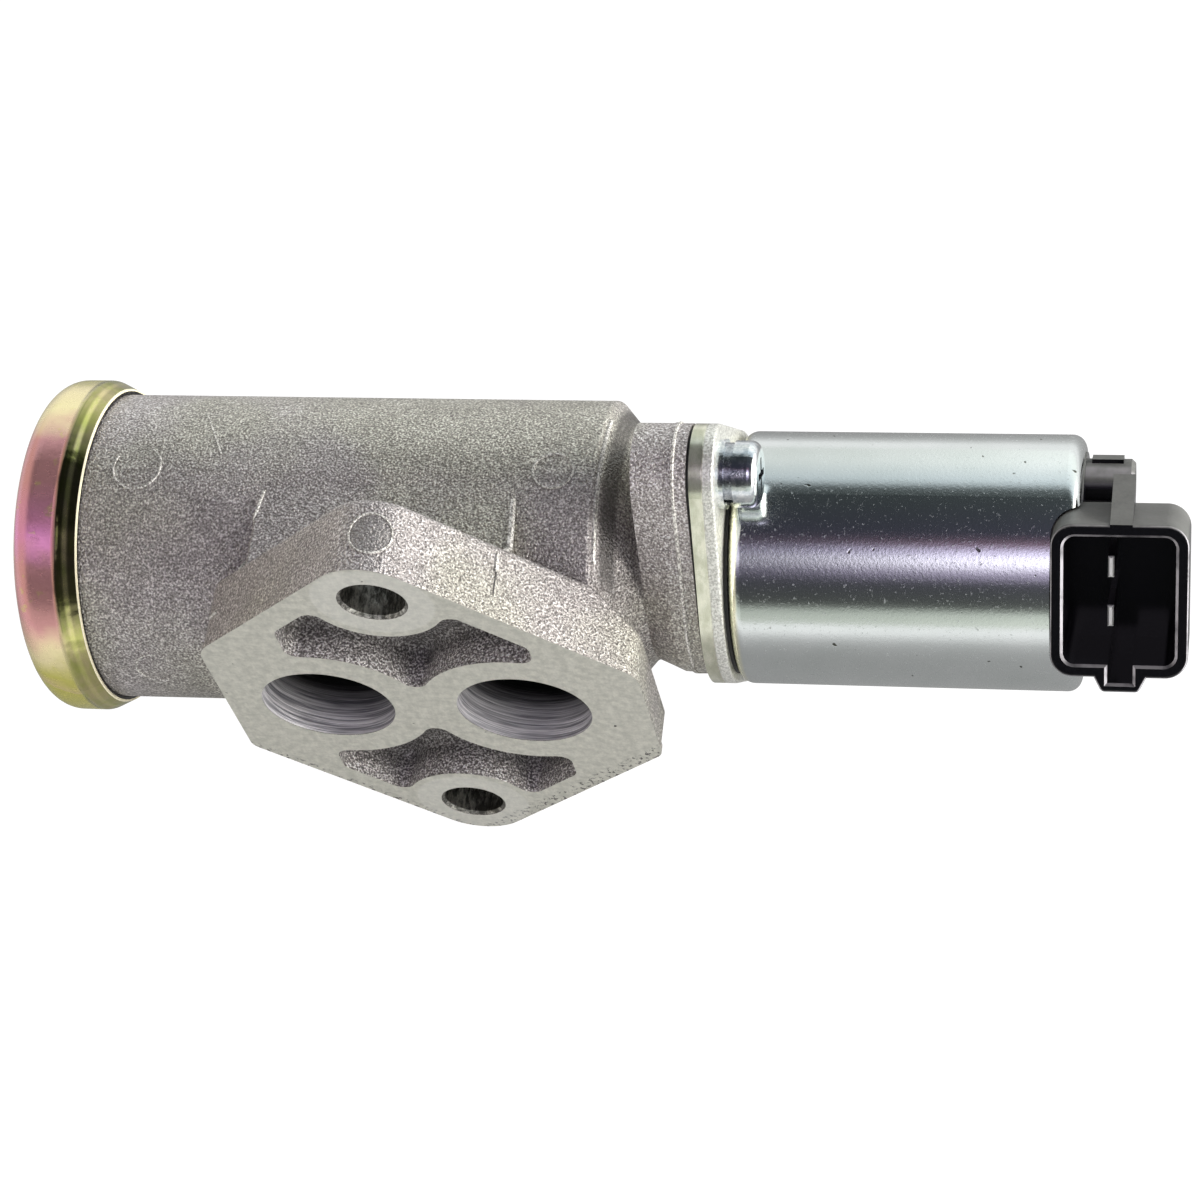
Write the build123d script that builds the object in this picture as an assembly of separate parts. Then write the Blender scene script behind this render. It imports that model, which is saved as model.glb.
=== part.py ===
from build123d import *
import math
import os

# Idle air control valve of a petrol engine, in millimetres.
# The origin is the middle of the machined mounting face, between the two air ports.
# The face lies in the plane y = 0 and looks along -Y. The valve axis is parallel to X at
# y = AXIS_HEIGHT: -X is the silencer cap, +X is the solenoid and its connector, +Z is up.

# Valve axis and mounting flange
AXIS_HEIGHT = 24.84          # valve axis above the mounting face
PORT_SPACING = 27.9          # between the two air ports
PORT_R = 9.38
BOLT_SPACING = 60.6          # between the two mounting bolts
BOLT_HOLE_R = 4.3
BOLT_CHAMFER = 0.45
FLANGE_THICKNESS = 10.8
BOLT_LEAN_DEG = 1.2          # of the bolts' line, towards the cap at its upper end
FLANGE_TIP_MARGIN = 8.66     # metal beyond each bolt hole's centre
FLANGE_TIP_R = 7.2
FLANGE_EDGE_DEG = 46.3       # direction of a slanted edge's normal, from X
FLANGE_LEFT_MARGIN = 14.65   # metal beyond a port's centre, on the cap's side
FLANGE_RIGHT_MARGIN = 17.4   # the same on the solenoid's side
FLANGE_UPPER_CORNER_R = 5.0
FLANGE_LOWER_CORNER_R = 2.6
FLANGE_BACK_R = 0.9
FLANGE_LIP = 0.2             # proud land along the face's edge
FLANGE_LIP_HEIGHT = 1.1
FLANGE_SLOPE_LENGTH = 6.65   # back slopes down towards the solenoid's end
FLANGE_SLOPE_DROP = 4.3

# Hollows cast into the mounting face
POCKET_RIM = 4.0             # left along the slanted edges
POCKET_PORT_WALL = 4.9
POCKET_BOLT_WALL = 5.1
POCKET_LEFT_MARGIN = 2.4     # of a hollow beyond the port's centre, at the cap's end
POCKET_RIGHT_MARGIN = 3.95   # and at the solenoid's end
POCKET_DEPTH = 6.0
POCKET_CORNER_R = 1.9
POCKET_FLOOR_R = 1.7
SLIVER_AREA = 20.0           # smaller leftovers of a hollow's outline stay uncut

# Body casting
BODY_R = 21.78               # at the cap's end
BODY_DRAFT = 0.26            # lost in radius towards the shoulder
BODY_WALL = 3.18             # round the silencer
BODY_LENGTH_LEFT = 40.05     # end of the casting, left of the left port's centre
SHOULDER_MARGIN = 10.35      # end of the cylinder, right of the right port's centre
SHOULDER_RUN = 6.0
SHOULDER_R = 0.7
BEAD_PROUD = 0.62
BEAD_LENGTH = 3.8
PAD_LEFT_MARGIN = 8.05       # of the pad behind the flange, left of the left port's centre
PAD_RIGHT_INSET = 0.45       # of the pad's other end, left of the right port's centre
PAD_DRAFT = 1.6              # added to that end at the face
NECK_INSET = 1.35            # neck under the plate's edge
NECK_WAIST_DEPTH = 1.75
NECK_BELT_DEPTH = 0.15       # where the neck's cone ends
NECK_WAIST_LENGTH = 0.4
NECK_CONE_LENGTH = 3.8
NECK_LENGTH = 3.6
NECK_OVERLAP = 1.0           # barrel's end inside the neck
VALLEY_R = 1.6
SCREW_BEYOND_CASE = 4.9      # screw axis outside the case
LOBE_R = 6.7
LOWER_LOBE_R = 5.9
LOWER_LOBE_BELT = 0.4        # smaller where the cone ends
LOWER_LOBE_TAPER = 2.2       # smaller at the waist
LOWER_LOBE_RISE = 3.9        # and nearer to the axis
RIB_WIDTH = 0.5
RIB_PROUD = 0.12
RIB_INSET = 1.8
INLET_CHAMBER_R = 13.0
OUTLET_CHAMBER_R = 12.0
INLET_CHAMBER_MARGIN = 13.05 # wall between silencer and inlet chamber, left of the port's centre
WEB_THICKNESS = 6.0

# Silencer end
CAP_GAP = 0.1                # between the cap and the casting's bead
CAP_THICKNESS = 1.3
CAP_CORNER_R = 3.6
CAP_HEM_R = 1.6
CAP_HEM_LENGTH = 2.6
SEAL_THICKNESS = 1.9
BAFFLE_THICKNESS = 1.2
BAFFLE_HOLE_R = 1.6
BAFFLE_RING_PITCH = 4.2      # between the rings of holes
BAFFLE_RINGS = 3
BAFFLE_GAP = 0.05
FOAM_GAP = 0.3

# Valve seat, poppet and rod
SEAT_BORE_R = 6.6
SEAT_R = 8.4
SEAT_PROUD = 0.8
POPPET_R = 7.7
POPPET_THICKNESS = 2.6
POPPET_NOSE = 1.2
POPPET_ROUND = 0.5
ROD_R = 2.0
ROD_GAP = 0.05
ROD_END = 3.6                # rod beyond the poppet
CLIP_THICKNESS = 0.8
CLIP_R = 3.6
CLIP_GROOVE = 0.4            # depth of its groove in the rod
CLIP_MOUTH = 3.2
ROD_ROUND = 0.5
STROKE = 5.0

# Solenoid
GASKET_THICKNESS = 0.4
GASKET_INSET = 0.5
PLATE_BEYOND = 0.1           # plate's edge outside the case
PLATE_THICKNESS = 3.3
PLATE_EDGE_R = 0.35
SPIGOT_LENGTH = 4.2
SPIGOT_GAP = 0.1
HUB_R = 10.0
HUB_LIP = 0.8
GROOVE_WIDTH = 0.5
GROOVE_RING_DEPTH = 1.3
CASE_R = 17.5
CASE_WALL = 1.5
CASE_LENGTH = 46.7
CASE_FOOT_R = 1.9
CASE_LIP_R = 1.9
CASE_LIP_LENGTH = 1.6
CASE_LIP_HEIGHT = 0.8
CORE_R = 6.0
SLEEVE_WALL = 0.5
SLEEVE_BEYOND = 3.2          # sleeve beyond the rear pole
SLEEVE_MARGIN = 0.45         # and beyond the adjusting plug
ARMATURE_GAP = 0.07
ARMATURE_LENGTH = 17.6
AIR_GAP = 0.4                # left between core and armature with the valve open
CORE_BORE_GAP = 0.2          # round the rod
BUSH_WALL = 1.5
BUSH_LENGTH = 6.0
SPRING_SEAT_R = 4.3
SPRING_SEAT_DEPTH = 5.0
SPRING_GAP = 0.2
SPRING_WIRE_R = 0.4
SPRING_TURNS = 6
BALANCE_WIRE_R = 0.3
BALANCE_TURNS = 4
PLUG_LENGTH = 3.0
PLUG_SLOT = 1.0
PLUG_GAP = 1.6               # between the armature at rest and the adjusting plug
BOBBIN_WALL = 1.3
BOBBIN_FLANGE = 1.5
COIL_GAP = 1.0               # between winding and case
REAR_POLE_THICKNESS = 3.0
FIT = 0.05                   # radial gap of a light fit

# Screws that hold the solenoid
SCREW_R = 2.45
SCREW_GAP = 0.05
SCREW_LENGTH = 10.0
SCREW_HOLE_R = 2.75
HEAD_R = 4.5
HEAD_HEIGHT = 3.3
HEAD_ROUND = 1.3
SCREW_END_ROUND = 0.6
RECESS_WIDTH = 0.95
RECESS_SPAN = 4.6
RECESS_DEPTH = 1.7
WASHER_R = 4.7
WASHER_THICKNESS = 0.9
LOCK_WASHER_R = 4.2
LOCK_WASHER_THICKNESS = 1.2
LOCK_WASHER_SLIT = 0.7

# End moulding and connector
CONNECTOR_DEG = 45.0         # mouth, from -Y towards +Z
MOUTH_BEYOND = 3.0           # mouth plane outside the case
SHROUD_X = 17.85
SHROUD_W = 20.7
SHROUD_SHIFT = 0.6           # of the shroud's middle, across the valve axis
SHROUD_LEFT = -3.5           # shroud's left wall from the end of the case
SHROUD_DEPTH = 15.0
SHROUD_WALL = 1.7
SHROUD_R = 3.0
SHROUD_BACK_R = 4.0
SHROUD_RIM_CHAMFER = 0.35    # round the socket's mouth
SHROUD_RIM_R = 0.4
SOCKET_DEPTH = 13.5
KEY_BASE = 6.8
KEY_TIP = 4.8
KEY_HEIGHT = 2.0
KEY_R = 0.8
KEY_SHIFT = 0.2              # along X, from the shroud's middle
KEY_SLOT = 3.3
KEY_WALL = 1.2               # outside the key's slot
KEY_BACK = 0.7               # key's outer end, in front of the shroud's back
RAMP_WIDTH = 2.9
RAMP_SHIFT = 0.2             # along X, from the shroud's middle
RAMP_LENGTH = 11.0
RAMP_HEIGHT = 4.0
PEG_R = 3.45
PEG_LENGTH = 6.55
PEG_W = 11.4                 # peg's axis across the shroud
PEG_N = 1.0                  # and along the mouth's direction
PEG_PAD = 0.3
PEG_PAD_WIDTH = 2.6
PEG_PAD_START = 0.8
PEG_PAD_LENGTH = 4.2
PEG_CHAMFER = 0.5
DISC_FACE = 0.2              # moulding's face beyond the case
DISC_BACK = 2.2              # moulding in the case, behind its lip
NECK_BLOCK_W = 13.0
NECK_BLOCK_BACK = 9.0
NECK_BLOCK_X = 11.0
NECK_BLOCK_ROOT = 1.5
CASE_NOTCH_GAP = 0.25
BLADE_WIDTH = 2.8
BLADE_THICKNESS = 0.8
BLADE_PITCH = 6.7
BLADE_SHIFT = -1.25          # of the blades from the shroud's middle, along X
BLADE_RECESS = 4.8           # blade tips below the mouth
BLADE_ROOT = 5.5             # blade held in the moulding, behind the socket's floor

# Stations along X, from the sizes above
LEFT_PORT_X = -PORT_SPACING / 2
RIGHT_PORT_X = PORT_SPACING / 2
BODY_LEFT = LEFT_PORT_X - BODY_LENGTH_LEFT
SHOULDER_X = RIGHT_PORT_X + SHOULDER_MARGIN
WAIST_X = SHOULDER_X + SHOULDER_RUN
LOBE_LEFT = WAIST_X + NECK_WAIST_LENGTH
NECK_X = LOBE_LEFT + NECK_CONE_LENGTH
BODY_FACE = NECK_X + NECK_LENGTH
CHAMBER_LEFT = LEFT_PORT_X - INLET_CHAMBER_MARGIN
WEB_LEFT = -WEB_THICKNESS / 2
WEB_RIGHT = WEB_THICKNESS / 2
SEAT_FACE = WEB_LEFT - SEAT_PROUD
PLATE_LEFT = BODY_FACE + GASKET_THICKNESS
PLATE_RIGHT = PLATE_LEFT + PLATE_THICKNESS
CASE_LEFT = PLATE_RIGHT + GROOVE_WIDTH
CASE_RIGHT = CASE_LEFT + CASE_LENGTH
COIL_LEFT = CASE_LEFT + CASE_WALL + HUB_LIP + FIT
CORE_LEFT = PLATE_LEFT - SPIGOT_LENGTH
MOULDING_LEFT = CASE_RIGHT - CASE_LIP_LENGTH - DISC_BACK
POLE_RIGHT = MOULDING_LEFT - FIT
POLE_LEFT = POLE_RIGHT - REAR_POLE_THICKNESS
SLEEVE_RIGHT = POLE_RIGHT + SLEEVE_BEYOND
PLUG_LEFT = SLEEVE_RIGHT - SLEEVE_MARGIN - PLUG_LENGTH
ARMATURE_RIGHT = PLUG_LEFT - PLUG_GAP
ARMATURE_LEFT = ARMATURE_RIGHT - ARMATURE_LENGTH
CORE_RIGHT = ARMATURE_LEFT - STROKE - AIR_GAP
COIL_RIGHT = POLE_LEFT - FIT
CASE_INNER_R = CASE_R - CASE_WALL
COIL_R = CASE_INNER_R - COIL_GAP
GROOVE_RING_R = CASE_R - GROOVE_RING_DEPTH
PLATE_R = CASE_R + PLATE_BEYOND
NECK_R = PLATE_R - NECK_INSET
NECK_WAIST_R = NECK_R - NECK_WAIST_DEPTH
LOBE_OFFSET = CASE_R + SCREW_BEYOND_CASE
MOUTH_DISTANCE = CASE_R + MOUTH_BEYOND
SILENCER_R = BODY_R - BODY_WALL
SLEEVE_R = CORE_R + SLEEVE_WALL
SHROUD_MIDDLE = CASE_RIGHT + SHROUD_LEFT + SHROUD_X / 2

VALVE_AXIS = Axis((0, AXIS_HEIGHT, 0), (1, 0, 0))
SECTION = Plane(origin=(0, AXIS_HEIGHT, 0), x_dir=(1, 0, 0), z_dir=(0, -1, 0))
FACE = Plane(origin=(0, 0, 0), x_dir=(1, 0, 0), z_dir=(0, 1, 0))


def turned(points, rounds=()):
    """Turn an outline of (x, radius) points about the valve axis, with rounded corners."""
    outline = make_face(Polyline(*points, close=True))
    for index, radius in rounds:
        x, y = points[index]
        corner = outline.vertices().sort_by_distance((x, y, 0))[0]
        outline = fillet(corner, radius)
    return revolve(SECTION * outline, VALVE_AXIS)


def ring(x0, x1, inner, outer):
    """A plain ring about the valve axis."""
    return turned([(x0, inner), (x1, inner), (x1, outer), (x0, outer)])


def rod(x0, x1, radius):
    """A plain round bar on the valve axis."""
    return turned([(x0, 0), (x1, 0), (x1, radius), (x0, radius)])


def across(x):
    """The plane square to the valve axis at x, with local axes along Y and Z."""
    return Plane(origin=(x, AXIS_HEIGHT, 0), x_dir=(0, 1, 0), z_dir=(1, 0, 0))


def bar(x0, x1, sketch):
    """A sketch across the valve axis, drawn out from x0 to x1."""
    return extrude(across(x0) * sketch, amount=x1 - x0)


def lobed(main_r, upper, lower):
    """A disc with a lobe above and below, each given as (offset, radius), on tangent lines."""
    outline = Sketch() + Circle(main_r)
    for side, (offset_, radius) in ((1, upper), (-1, lower)):
        lean = math.asin((main_r - radius) / offset_)
        near = Vector(main_r * math.cos(lean), side * main_r * math.sin(lean))
        far = Vector(radius * math.cos(lean), side * (offset_ + radius * math.sin(lean)))
        corners = [near, far, Vector(-far.X, far.Y), Vector(-near.X, near.Y)]
        outline += make_face(Polyline(*corners, close=True))
        outline += Pos(0, side * offset_) * Circle(radius)
    return outline


def plate_outline(inset=0.0):
    """Outline of the solenoid's plate, with a like lobe round each screw."""
    lobe = (LOBE_OFFSET, LOBE_R - inset)
    return lobed(PLATE_R - inset, lobe, lobe)


def neck_outline(depth, shrink, rise):
    """Outline of the casting's neck, where its lower lobe is smaller and nearer by so much."""
    lower = (LOBE_OFFSET - rise, LOWER_LOBE_R - shrink)
    return lobed(NECK_R - depth, (LOBE_OFFSET, LOBE_R), lower)


def flange_outline(inset=0.0):
    """The six-sided mounting flange, seen from behind, with its lower tip at +Y."""
    edge = math.radians(FLANGE_EDGE_DEG)
    tip = BOLT_SPACING / 2 + FLANGE_TIP_MARGIN
    peak = tip + FLANGE_TIP_R * (1 / math.sin(edge) - 1) - inset / math.sin(edge)
    lean = peak * math.tan(math.radians(BOLT_LEAN_DEG))
    left = LEFT_PORT_X - FLANGE_LEFT_MARGIN + inset
    right = RIGHT_PORT_X + FLANGE_RIGHT_MARGIN - inset
    return Polygon(
        (right, peak - (right - lean) / math.tan(edge)),
        (lean, peak),
        (left, peak + (left - lean) / math.tan(edge)),
        (left, -peak - (left + lean) / math.tan(edge)),
        (-lean, -peak),
        (right, -peak + (right + lean) / math.tan(edge)),
        align=None,
    )


def rounded_flange(inset):
    """The flange's outline with its tips and corners rounded."""
    outline = flange_outline(inset)
    tips = outline.vertices().sort_by(Axis.Y)
    outline = fillet([tips[0], tips[-1]], FLANGE_TIP_R - inset)
    for side, corner_r in ((-1, FLANGE_UPPER_CORNER_R), (1, FLANGE_LOWER_CORNER_R)):
        corners = outline.vertices().filter_by(
            lambda v: abs(v.X) > PORT_SPACING / 2 + PORT_R and v.Y * side > 0
        )
        outline = fillet(corners, corner_r - inset)
    return outline


def flange():
    """Mounting flange with a proud land at the face, a sloping end and a rounded back edge."""
    block = extrude(FACE * rounded_flange(FLANGE_LIP), amount=FLANGE_THICKNESS)
    right = RIGHT_PORT_X + FLANGE_RIGHT_MARGIN
    slope = Polyline(
        (right - FLANGE_SLOPE_LENGTH, FLANGE_THICKNESS - AXIS_HEIGHT),
        (right, FLANGE_THICKNESS - FLANGE_SLOPE_DROP - AXIS_HEIGHT),
        (right, FLANGE_THICKNESS - AXIS_HEIGHT),
        close=True,
    )
    side = Plane(origin=(0, AXIS_HEIGHT, 0), x_dir=(1, 0, 0), z_dir=(0, 0, 1))
    block -= extrude(side * make_face(slope), amount=BOLT_SPACING, both=True)
    rear = block.faces().filter_by(lambda face: face.normal_at().Y > math.sqrt(0.5))
    edges = [edge for face in rear for edge in face.edges() if edge.center().Y > FLANGE_LIP_HEIGHT]
    shared = [edge for edge in edges if edges.count(edge) > 1]
    block = fillet([edge for edge in edges if edge not in shared], FLANGE_BACK_R)
    return block + extrude(FACE * rounded_flange(0.0), amount=FLANGE_LIP_HEIGHT)


def bolt_place(side):
    """A mounting bolt's place on the face, for the lower (+1) or the upper (-1) one."""
    lean = math.radians(BOLT_LEAN_DEG)
    return Pos(
        side * BOLT_SPACING / 2 * math.sin(lean), side * BOLT_SPACING / 2 * math.cos(lean)
    )


def pocket(side):
    """One hollow in the mounting face, below (+1) or above (-1) the ports."""
    left = LEFT_PORT_X - POCKET_LEFT_MARGIN
    right = RIGHT_PORT_X + POCKET_RIGHT_MARGIN
    tall = BOLT_SPACING
    limit = Pos((left + right) / 2, side * tall / 2) * Rectangle(right - left, tall)
    outline = flange_outline(POCKET_RIM) & limit
    for x in (LEFT_PORT_X, RIGHT_PORT_X):
        outline -= Pos(x, 0) * Circle(PORT_R + POCKET_PORT_WALL)
    outline -= bolt_place(side) * Circle(BOLT_HOLE_R + POCKET_BOLT_WALL)
    pieces = [face for face in outline.faces() if face.area > SLIVER_AREA]
    outline = Sketch() + pieces
    outline = offset(offset(outline, -POCKET_CORNER_R), POCKET_CORNER_R)
    hollow = extrude(FACE * outline, amount=POCKET_DEPTH)
    floor = hollow.faces().sort_by(Axis.Y)[-1]
    return fillet(floor.edges(), POCKET_FLOOR_R)


def bolt_hole(side):
    """A mounting bolt's hole, with a small chamfer at the face."""
    hole = extrude(FACE * (bolt_place(side) * Circle(BOLT_HOLE_R)), amount=2 * FLANGE_THICKNESS)
    mouth = FACE * bolt_place(side) * Pos(0, 0, BOLT_CHAMFER / 2)
    return hole + mouth * Cone(BOLT_HOLE_R + BOLT_CHAMFER, BOLT_HOLE_R, BOLT_CHAMFER)


def valve_body():
    """The aluminium casting: silencer barrel, flange with ports, neck with two screw lobes."""
    shoulder_r = BODY_R - BODY_DRAFT
    barrel_end = LOBE_LEFT + NECK_OVERLAP
    barrel = [
        (BODY_LEFT, 0),
        (BODY_LEFT, BODY_R + BEAD_PROUD),
        (BODY_LEFT + BEAD_LENGTH, BODY_R + BEAD_PROUD),
        (BODY_LEFT + BEAD_LENGTH + 2 * BEAD_PROUD, BODY_R),
        (SHOULDER_X, shoulder_r),
        (WAIST_X, NECK_WAIST_R),
        (barrel_end, NECK_WAIST_R),
        (barrel_end, 0),
    ]
    casting = turned(barrel, ((4, SHOULDER_R), (5, VALLEY_R)))
    casting += flange()

    pad_left = LEFT_PORT_X - PAD_LEFT_MARGIN
    pad_right = RIGHT_PORT_X - PAD_RIGHT_INSET
    side_view = Polyline(
        (pad_left, -AXIS_HEIGHT),
        (pad_right + PAD_DRAFT, -AXIS_HEIGHT),
        (pad_right, 0),
        (pad_left, 0),
        close=True,
    )
    side = Plane(origin=(0, AXIS_HEIGHT, 0), x_dir=(1, 0, 0), z_dir=(0, 0, 1))
    pad = extrude(side * make_face(side_view), amount=shoulder_r, both=True)
    casting += pad & extrude(FACE * flange_outline(FLANGE_LIP), amount=AXIS_HEIGHT)

    stations = (
        (LOBE_LEFT, neck_outline(NECK_WAIST_DEPTH, LOWER_LOBE_TAPER, LOWER_LOBE_RISE)),
        (NECK_X, neck_outline(NECK_BELT_DEPTH, LOWER_LOBE_BELT, LOWER_LOBE_BELT)),
        (BODY_FACE, neck_outline(0, 0, 0)),
    )
    casting += loft([across(x) * outline for x, outline in stations], ruled=True)
    rib_x = BODY_FACE - RIB_INSET
    casting += bar(rib_x - RIB_WIDTH, rib_x, offset(neck_outline(0, 0, 0), RIB_PROUD))

    casting -= rod(BODY_LEFT, CHAMBER_LEFT, SILENCER_R)
    casting -= rod(CHAMBER_LEFT, WEB_LEFT, INLET_CHAMBER_R)
    casting -= rod(WEB_LEFT, WEB_RIGHT, SEAT_R)
    casting -= rod(WEB_RIGHT, BODY_FACE, OUTLET_CHAMBER_R)
    for x in (LEFT_PORT_X, RIGHT_PORT_X):
        casting -= extrude(FACE * (Pos(x, 0) * Circle(PORT_R)), amount=AXIS_HEIGHT)
    for side in (1, -1):
        casting -= pocket(side)
        casting -= bolt_hole(side)
        hole = Pos(0, side * LOBE_OFFSET) * Circle(SCREW_R + SCREW_GAP)
        casting -= bar(LOBE_LEFT, BODY_FACE, hole)
    return casting


def silencer_cap():
    """Pressed steel cap, rolled over the casting's bead."""
    inner = BODY_R + BEAD_PROUD + CAP_GAP
    outer = inner + CAP_THICKNESS
    left = BODY_LEFT - SEAL_THICKNESS - CAP_THICKNESS
    bead_end = BODY_LEFT + BEAD_LENGTH + 2 * CAP_GAP
    hem_end = bead_end + CAP_HEM_LENGTH
    hem_inner = BODY_R + CAP_GAP
    points = [
        (left, 0),
        (left, outer),
        (bead_end, outer),
        (hem_end, hem_inner + CAP_THICKNESS / 2),
        (hem_end, hem_inner),
        (bead_end + 2 * BEAD_PROUD, hem_inner),
        (bead_end, inner),
        (left + CAP_THICKNESS, inner),
        (left + CAP_THICKNESS, 0),
    ]
    inner_corner_r = CAP_CORNER_R - CAP_THICKNESS
    return turned(points, ((1, CAP_CORNER_R), (2, CAP_HEM_R), (7, inner_corner_r)))


def cap_seal():
    """Flat ring between the cap and the casting's end."""
    left = BODY_LEFT - SEAL_THICKNESS
    outer = BODY_R + BEAD_PROUD - (CAP_CORNER_R - CAP_THICKNESS)
    return ring(left, BODY_LEFT, SILENCER_R, outer)


def silencer_foam():
    """Open foam block that quietens the air."""
    return rod(BODY_LEFT - SEAL_THICKNESS, CHAMBER_LEFT - BAFFLE_THICKNESS, SILENCER_R - FOAM_GAP)


def baffle_plate():
    """Perforated plate that keeps the foam out of the inlet chamber."""
    plate = rod(CHAMBER_LEFT - BAFFLE_THICKNESS, CHAMBER_LEFT, SILENCER_R - BAFFLE_GAP)
    plate -= bar(CHAMBER_LEFT - BAFFLE_THICKNESS, CHAMBER_LEFT, Circle(BAFFLE_HOLE_R))
    for turn in range(1, BAFFLE_RINGS):
        holes = PolarLocations(turn * BAFFLE_RING_PITCH, 6 * turn) * Circle(BAFFLE_HOLE_R)
        plate -= bar(CHAMBER_LEFT - BAFFLE_THICKNESS, CHAMBER_LEFT, Sketch() + holes)
    return plate


def valve_seat():
    """Seat ring pressed into the web between the chambers."""
    points = [
        (SEAT_FACE, SEAT_BORE_R + POPPET_NOSE / 2),
        (SEAT_FACE, SEAT_R),
        (WEB_RIGHT, SEAT_R),
        (WEB_RIGHT, SEAT_BORE_R),
        (SEAT_FACE + POPPET_NOSE / 2, SEAT_BORE_R),
    ]
    return turned(points)


def valve_poppet():
    """Poppet that closes the seat from the inlet side."""
    bore = ROD_R
    points = [
        (SEAT_FACE - POPPET_THICKNESS, bore),
        (SEAT_FACE - POPPET_THICKNESS, POPPET_R),
        (SEAT_FACE, POPPET_R),
        (SEAT_FACE, SEAT_BORE_R - FIT),
        (SEAT_FACE + POPPET_NOSE, SEAT_BORE_R - POPPET_NOSE),
        (SEAT_FACE + POPPET_NOSE, bore),
    ]
    return turned(points, ((1, POPPET_ROUND),))


def poppet_clip():
    """Snap ring that holds the poppet on the rod."""
    right = SEAT_FACE - POPPET_THICKNESS
    clip = ring(right - CLIP_THICKNESS, right, ROD_R - CLIP_GROOVE, CLIP_R)
    gap = Pos(CLIP_R, 0) * Rectangle(2 * CLIP_R, CLIP_MOUTH)
    return clip - bar(right - CLIP_THICKNESS, right, gap)


def valve_rod():
    """Rod that joins poppet and armature, grooved for the snap ring."""
    right = ARMATURE_RIGHT - SPRING_SEAT_DEPTH
    left = SEAT_FACE - POPPET_THICKNESS - ROD_END
    groove = SEAT_FACE - POPPET_THICKNESS
    points = [
        (left, 0),
        (left, ROD_R),
        (groove - CLIP_THICKNESS, ROD_R),
        (groove - CLIP_THICKNESS, ROD_R - CLIP_GROOVE),
        (groove, ROD_R - CLIP_GROOVE),
        (groove, ROD_R),
        (right, ROD_R),
        (right, 0),
    ]
    return turned(points, ((1, ROD_ROUND),))


def fixed_core():
    """Soft iron core, bored for the rod, its bush and the return spring."""
    core = rod(CORE_LEFT, CORE_RIGHT, CORE_R)
    core -= rod(CORE_LEFT, CORE_RIGHT, ROD_R + CORE_BORE_GAP)
    core -= rod(CORE_LEFT, CORE_LEFT + BUSH_LENGTH, ROD_R + ROD_GAP + BUSH_WALL)
    return core - rod(CORE_RIGHT - SPRING_SEAT_DEPTH, CORE_RIGHT, SPRING_SEAT_R)


def rod_bush():
    """Bronze bush that guides the rod."""
    inner = ROD_R + ROD_GAP
    return ring(CORE_LEFT, CORE_LEFT + BUSH_LENGTH, inner, inner + BUSH_WALL)


def armature():
    """Moving iron, pressed on the rod, with a spring seat at each end."""
    iron = ring(ARMATURE_LEFT, ARMATURE_RIGHT, ROD_R, CORE_R - ARMATURE_GAP)
    return iron - rod(ARMATURE_RIGHT - SPRING_SEAT_DEPTH, ARMATURE_RIGHT, SPRING_SEAT_R)


def armature_sleeve():
    """Thin brass tube that the armature slides in."""
    return ring(COIL_LEFT, SLEEVE_RIGHT, CORE_R, SLEEVE_R)


def adjusting_plug():
    """Plug in the sleeve's end that sets the balance spring."""
    plug = rod(PLUG_LEFT, PLUG_LEFT + PLUG_LENGTH, CORE_R - FIT)
    slot = Rectangle(PLUG_SLOT, 2 * CORE_R)
    return plug - bar(PLUG_LEFT + PLUG_LENGTH / 2, PLUG_LEFT + PLUG_LENGTH, slot)


def coil_spring(x0, x1, radius, wire_r, turns):
    """Round wire wound about the valve axis, between two flat seats."""
    height = x1 - x0 - 2 * wire_r
    path = Helix(height / turns, height, radius)
    wire = Plane(origin=path @ 0, z_dir=path % 0) * Circle(wire_r)
    spring = sweep(wire, path, is_frenet=True)
    return Pos(x0 + wire_r, AXIS_HEIGHT, 0) * Rot(0, 90, 0) * spring


def return_spring():
    """Spring that closes the valve, between core and armature."""
    left = CORE_RIGHT - SPRING_SEAT_DEPTH
    radius = SPRING_SEAT_R - SPRING_GAP - SPRING_WIRE_R
    return coil_spring(left, ARMATURE_LEFT, radius, SPRING_WIRE_R, SPRING_TURNS)


def balance_spring():
    """Light spring behind the armature that sets its rest position."""
    left = ARMATURE_RIGHT - SPRING_SEAT_DEPTH
    radius = SPRING_SEAT_R - SPRING_GAP - BALANCE_WIRE_R
    return coil_spring(left, PLUG_LEFT, radius, BALANCE_WIRE_R, BALANCE_TURNS)


def coil_bobbin():
    """Plastic spool for the winding."""
    inner = SLEEVE_R + FIT
    outer = CASE_INNER_R - 2 * FIT
    spool = ring(COIL_LEFT, COIL_RIGHT, inner, inner + BOBBIN_WALL)
    spool += ring(COIL_LEFT, COIL_LEFT + BOBBIN_FLANGE, inner, outer)
    return spool + ring(COIL_RIGHT - BOBBIN_FLANGE, COIL_RIGHT, inner, outer)


def coil_winding():
    """Wound copper wire, as one block."""
    inner = SLEEVE_R + FIT + BOBBIN_WALL
    return ring(COIL_LEFT + BOBBIN_FLANGE, COIL_RIGHT - BOBBIN_FLANGE, inner, COIL_R)


def rear_pole():
    """Iron washer that carries the field from case to armature."""
    return ring(POLE_LEFT, POLE_RIGHT, SLEEVE_R + FIT, CASE_INNER_R - FIT)


def solenoid_gasket():
    """Thin gasket between the casting and the solenoid's plate."""
    sheet = offset(neck_outline(0, 0, 0), -GASKET_INSET) - Circle(OUTLET_CHAMBER_R)
    for side in (1, -1):
        sheet -= Pos(0, side * LOBE_OFFSET) * Circle(SCREW_HOLE_R)
    return bar(BODY_FACE, PLATE_LEFT, sheet)


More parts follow.
